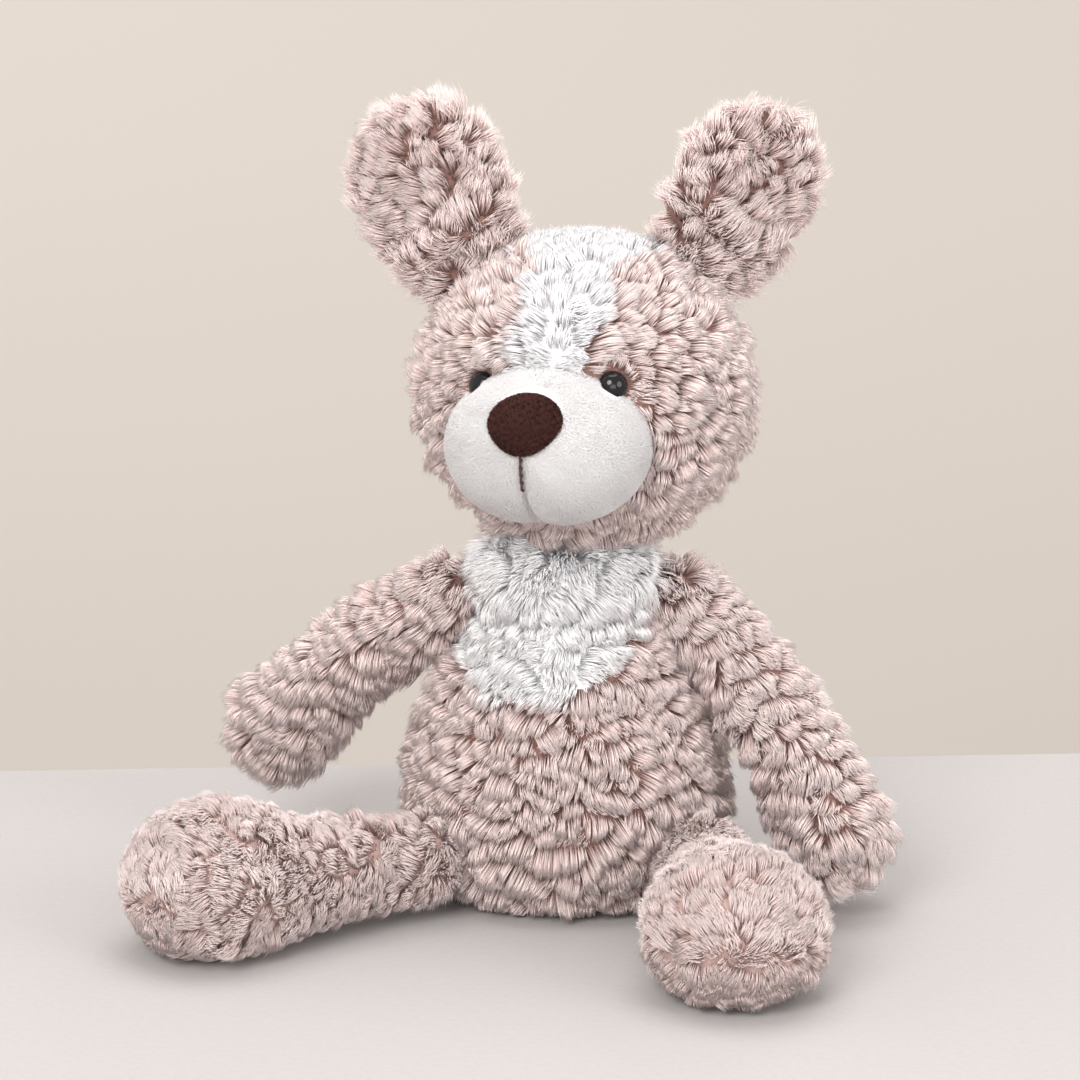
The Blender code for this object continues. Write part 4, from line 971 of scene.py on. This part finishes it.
def off_eyes_only(p0, p1, p2, p3):
    bad = np.zeros(len(p0), bool)
    for k in eye_at:
        for p in (p2, p3):
            d = p - eye_at[k]
            h = d @ eye_axis[k]
            bad |= (np.linalg.norm(d - h[:, None] * eye_axis[k], axis=1) < EYE_R - 0.0012) & (h > 0)
    return bad


def grow_short(name, surf, seed, body, *, flow, weight, lean, height, per_mm2, rad, mat, slot, reject=None, rag=0.2, mottle=0.0):
    """Short even pile: one strand after another, with no tufts."""
    rng = np.random.default_rng(seed)
    P, N, E = surf.scatter(rng, per_mm2 * DENSITY, weight)
    C = unit(flat_on(flow(P, N, E), N))
    A = np.cross(N, C)
    n = len(P)
    turn = rng.normal(0, 0.22, n)[:, None] + 0.35 * Waves(seed, 0.016)(P)[:, None]
    C = C * np.cos(turn) + A * np.sin(turn)
    h = (height * np.clip(rng.normal(1, rag, n), 0.3, 1.7))[:, None]
    f = (lean * np.clip(rng.normal(1, rag, n), 0.3, 1.7))[:, None]
    pts = [P - N * 0.0003, P + N * h * 0.45 + C * f * 0.2, P + N * h * 0.85 + C * f * 0.6, P + N * h + C * f]
    keep = np.ones(n, bool) if reject is None else ~reject(*pts)
    pts = [p[keep] for p in pts]
    m = int(keep.sum())
    tn = np.clip(0.5 + rng.normal(0, 0.16, m) + 0.08 * Waves(seed + 1, 0.008)(pts[0]) + mottle * Waves(seed + 2, 0.0016, 24)(pts[0]), 0, 0.999)
    kd = np.clip(np.round(7.5 + rng.normal(0, 3, m)), 0, KINDS - 1)
    STRANDS[0] += m
    return strand_mesh(name, rng, *pts, rad * rng.uniform(0.75, 1.2, m), tn, kd, body, mat, slot)


grow_short("muzzle_fuzz", muzzle, 701, "head", flow=muzzle_flow, weight=muzzle_weight, lean=0.0013, height=0.0012,
           per_mm2=7.0, rad=0.000095, mat=muzzle_fuzz_m, slot="muzzle_pile", reject=off_eyes_only, rag=0.11)


# ---------------------------------------------------------------------- nose
def on_muzzle(x, up, lift):
    g = 1 - (x / (MUZZLE_R[0] + lift)) ** 2 - ((up - MUZZLE_C[2]) / (MUZZLE_R[2] + lift)) ** 2
    return np.stack([x, MUZZLE_C[1] + (MUZZLE_R[1] + lift) * np.sqrt(np.clip(g, 0, None)), up + 0 * x], -1)


def nose_grid(nr=46, na=96):
    f = np.concatenate([np.sin(np.linspace(0, math.pi / 2, nr - 8)), np.linspace(1.0, 0.0, 8)[1:]])
    top = np.concatenate([np.cos(np.linspace(0, math.pi / 2, nr - 8)), np.full(7, -0.2)])
    a = np.linspace(0, 2 * math.pi, na, endpoint=False)
    x, z = np.cos(a), np.sin(a)
    wide = np.where(z > 0, 1.0, 1.0 - 0.20 * np.abs(z) ** 1.3)
    ox, oz = 0.0130 * x * wide, np.where(z > 0, 0.0092, 0.0102) * z
    rows = []
    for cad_, t in zip(f, top):
        lift = 0.0004 + 0.0050 * max(t, 0) ** 0.75 + (0.0006 if t >= 0 else -0.0002)
        lift = lift - 0.0004 * np.exp(-(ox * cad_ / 0.0011) ** 2) * step(0.0, -0.006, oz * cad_) * max(t, 0)
        rows.append(from_head(on_muzzle(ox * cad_, NOSE_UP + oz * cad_, lift)))
    return Surf(np.stack(rows))


nose = nose_grid()
nob = ring_mesh("nose_cover_sewn", nose.P)
nob.data.materials.append(nose_skin)
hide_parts("nose_cover")
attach(nob, "head")
grow_short("nose_fuzz", nose, 801, "head", flow=lambda c, n, e: e - 0.3 * UP,
           weight=lambda p, n: np.where((n @ HEAD_M.T)[..., 1] > 0.05, 1.0, 0.0), lean=0.0004, height=0.00055,
           per_mm2=9.0, rad=0.00012, mat=nose_fuzz_m, slot="nose_fabric", rag=0.4, mottle=0.40)


# ------------------------------------------------------------ stitched threads
def thread_material():
    mat, nt, bsdf = nodes_of("brown_thread", 0.7, 0.0, 0.4)
    co = nt.nodes.new("ShaderNodeTexCoord")
    w = nt.nodes.new("ShaderNodeTexWave")
    w.bands_direction = "DIAGONAL"
    w.inputs["Scale"].default_value = 900
    w.inputs["Distortion"].default_value = 1.5
    nt.links.new(co.outputs["Object"], w.inputs["Vector"])
    nt.links.new(ramp_node(nt, w.outputs["Fac"], [(0.0, (0.028, 0.011, 0.009)), (1.0, (0.085, 0.038, 0.030))]), bsdf.inputs["Base Color"])
    return mat


thread_m = thread_material()


def thread(points, r, twist=0.0, plies=2, sides=8, per=10):
    """Verts and faces of plies twisted about a path, closed at both ends."""
    path = through(points, per * (len(points) - 1) + 1)
    tan = unit(np.gradient(path, axis=0))
    ref = unit(np.cross(tan, (0.3, 0.1, 0.9)))
    ref2 = np.cross(tan, ref)
    length = np.concatenate([[0], np.cumsum(np.linalg.norm(np.diff(path, axis=0), axis=1))])
    verts, faces = [], []
    for p in range(plies):
        ph = 2 * math.pi * (length * twist + p / plies)
        off = 0.5 * r if plies > 1 else 0.0
        c = path + (ref * np.cos(ph)[:, None] + ref2 * np.sin(ph)[:, None]) * off
        pr = r * (0.58 if plies > 1 else 1.0)
        base = len(verts)
        n = len(c)
        for i in range(n):
            end = 0.45 if i in (0, n - 1) else 1.0
            for m in range(sides):
                w = 2 * math.pi * m / sides
                verts.append(tuple(c[i] + (ref[i] * math.cos(w) + ref2[i] * math.sin(w)) * pr * end))
        for i in range(n - 1):
            for m in range(sides):
                k = (m + 1) % sides
                faces.append((base + i * sides + m, base + i * sides + k, base + (i + 1) * sides + k, base + (i + 1) * sides + m))
        faces.append(tuple(base + m for m in range(sides))[::-1])
        faces.append(tuple(base + (n - 1) * sides + m for m in range(sides)))
    return verts, faces


def thread_piece(name, runs, mat, body, r, nodes=(), twist=900.0):
    verts, faces = [], []
    for pts in runs:
        v, f = thread(pts, r, twist)
        faces += [tuple(i + len(verts) for i in q) for q in f]
        verts += v
    me = bpy.data.meshes.new(name)
    me.from_pydata(verts, [], faces)
    bm = bmesh.new()
    bm.from_mesh(me)
    bmesh.ops.recalc_face_normals(bm, faces=bm.faces)
    bm.to_mesh(me)
    bm.free()
    me.shade_smooth()
    me.materials.append(mat)
    ob = bpy.data.objects.new(name, me)
    bpy.context.scene.collection.objects.link(ob)
    if nodes:
        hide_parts(*nodes)
    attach(ob, body)
    return ob


def face_line(x, up, lift):
    return from_head(on_muzzle(np.array([x]), np.array([up]), lift))[0]


top, low = NOSE_UP - 0.0096, NOSE_UP - 0.0232
runs = []
cuts = np.linspace(top, low, 6)
for i in range(5):
    a, b = cuts[i] + 0.0004, cuts[i + 1] - 0.0002
    runs.append([face_line(0.0, a, -0.0002), face_line(0.0001, a - 0.0006, 0.0011), face_line(0.0, (a + b) / 2, 0.0014),
                 face_line(-0.0001, b + 0.0006, 0.0011), face_line(0.0, b, -0.0002)])
thread_piece("mouth_stitches", runs, thread_m, "head", 0.00050, ["philtrum_stitch"])


# ---------------------------------------------------------------------- eyes
def eye_material():
    mat, nt, bsdf = nodes_of("eye_plastic", 0.05, 0.0, 0.32)
    co = nt.nodes.new("ShaderNodeTexCoord")
    n = nt.nodes.new("ShaderNodeTexNoise")
    n.inputs["Scale"].default_value = 300
    nt.links.new(co.outputs["Object"], n.inputs["Vector"])
    nt.links.new(ramp_node(nt, n.outputs[0], [(0.3, (0.004, 0.004, 0.005)), (0.8, (0.010, 0.009, 0.010))]), bsdf.inputs["Base Color"])
    return mat


eye_m = eye_material()
for nm in ("left", "right"):
    axis = eye_axis[nm]
    e1 = unit(np.cross(axis, UP))
    e2 = np.cross(axis, e1)
    prof = [(0.0, 0.0050)] + [(EYE_R * math.sin(t), 0.0010 + 0.0040 * math.cos(t)) for t in np.linspace(0.08, math.pi / 2, 20)]
    prof += [(EYE_R * 0.985, 0.0003), (EYE_R * 0.9, 0.0), (0.0018, -0.0001), (0.0016, -0.0006), (0.0016, -0.0090), (0.0, -0.0096)]
    a = np.linspace(0, 2 * math.pi, 64, endpoint=False)
    P = np.stack([eye_at[nm] + axis * h + (e1 * np.cos(a)[:, None] + e2 * np.sin(a)[:, None]) * r for r, h in prof])
    ob = ring_mesh("eye_dome_" + nm, P)
    ob.data.materials.append(eye_m)
    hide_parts("eye_" + nm)
    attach(ob, "head")

# the neck plug is hidden in the head's wadding
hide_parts("neck_plug")

print("strands", STRANDS[0])


# ----------------------------------------------------------------------- set
def plain_set():
    def cloth(name, colour, amount):
        mat, nt, bsdf = nodes_of(name, 0.9, 0.0, 0.2)
        co = nt.nodes.new("ShaderNodeTexCoord")
        n = nt.nodes.new("ShaderNodeTexNoise")
        n.inputs["Scale"].default_value = 420
        n.inputs["Detail"].default_value = 5
        nt.links.new(co.outputs["Object"], n.inputs["Vector"])
        lo = tuple(x * (1 - amount) for x in colour)
        nt.links.new(ramp_node(nt, n.outputs[0], [(0.3, lo), (0.7, colour)]), bsdf.inputs["Base Color"])
        return mat

    turn = math.radians(7.2)
    c, s = math.cos(turn), math.sin(turn)
    corners = [(-2.6, -3.2), (2.6, -3.2), (2.6, 0.0), (-2.6, 0.0)]
    verts = []
    for z in (0.0, -0.035):
        verts += [(x * c - y * s, 0.157 + x * s + y * c, z) for x, y in corners]
    faces = [(0, 1, 2, 3), (7, 6, 5, 4), (0, 4, 5, 1), (1, 5, 6, 2), (2, 6, 7, 3), (3, 7, 4, 0)]
    me = bpy.data.meshes.new("table_top")
    me.from_pydata(verts, [], faces)
    ob = bpy.data.objects.new("table_top", me)
    me.materials.append(cloth("table_cloth", (0.423, 0.403, 0.399), 0.05))
    bpy.context.scene.collection.objects.link(ob)

    me = bpy.data.meshes.new("wall")
    me.from_pydata([(-6, 2.6, -3), (6, 2.6, -3), (6, 2.6, 5), (-6, 2.6, 5)], [], [(0, 1, 2, 3)])
    ob = bpy.data.objects.new("wall", me)
    me.materials.append(cloth("wall_paint", (0.562, 0.515, 0.472), 0.02))
    bpy.context.scene.collection.objects.link(ob)

    world = bpy.data.worlds.new("studio")
    world.use_nodes = True
    bg = world.node_tree.nodes["Background"]
    bg.inputs["Color"].default_value = (1.0, 0.967, 0.935, 1)
    bg.inputs["Strength"].default_value = 0.98
    bpy.context.scene.world = world

    def lamp(name, at, aim, size, power, colour=(1, 1, 1), shape="DISK"):
        li = bpy.data.lights.new(name, "AREA")
        li.shape, li.size, li.energy, li.color = shape, size, power, colour
        o = bpy.data.objects.new(name, li)
        o.location = at
        o.rotation_mode = "QUATERNION"
        o.rotation_quaternion = (Vector(aim) - Vector(at)).to_track_quat("-Z", "Y")
        bpy.context.scene.collection.objects.link(o)

    lamp("key_softbox", (-0.45, -1.45, 1.05), (0, 0, 0.12), 0.85, 23.5, (1.0, 0.985, 0.97))
    lamp("fill_softbox", (1.4, -1.2, 0.7), (0, 0, 0.12), 1.1, 14, (0.98, 0.99, 1.0))
    lamp("low_softbox", (0.25, -1.65, 0.22), (0, 0, 0.11), 1.0, 8, (1.0, 0.985, 0.97))
    lamp("top_softbox", (0.0, 0.0, 1.7), (0, 0, 0.1), 1.3, 14)
    lamp("back_softbox", (0.7, 1.35, 0.9), (0, 0, 0.12), 1.0, 5, (1.0, 0.985, 0.97))
    lamp("wall_lamp", (-1.6, 1.1, 1.5), (-1.0, 2.6, 0.4), 1.2, 14, (1.0, 0.98, 0.95))

    cam = bpy.data.cameras.new("camera")
    cam.sensor_width = 36.0
    cam.lens = 108.0
    cam.clip_start, cam.clip_end = 0.05, 50
    o = bpy.data.objects.new("camera", cam)
    target = Vector((-0.0098, 0.0, 0.1329))
    az, el = math.radians(4.0), math.radians(13.0)
    back = Vector((math.sin(az) * math.cos(el), -math.cos(az) * math.cos(el), math.sin(el)))
    o.location = target + back * 1.2
    o.rotation_mode = "QUATERNION"
    o.rotation_quaternion = (-back).to_track_quat("-Z", "Y")
    bpy.context.scene.collection.objects.link(o)
    bpy.context.scene.camera = o
    bpy.context.scene.view_settings.view_transform = "Standard"


plain_set()
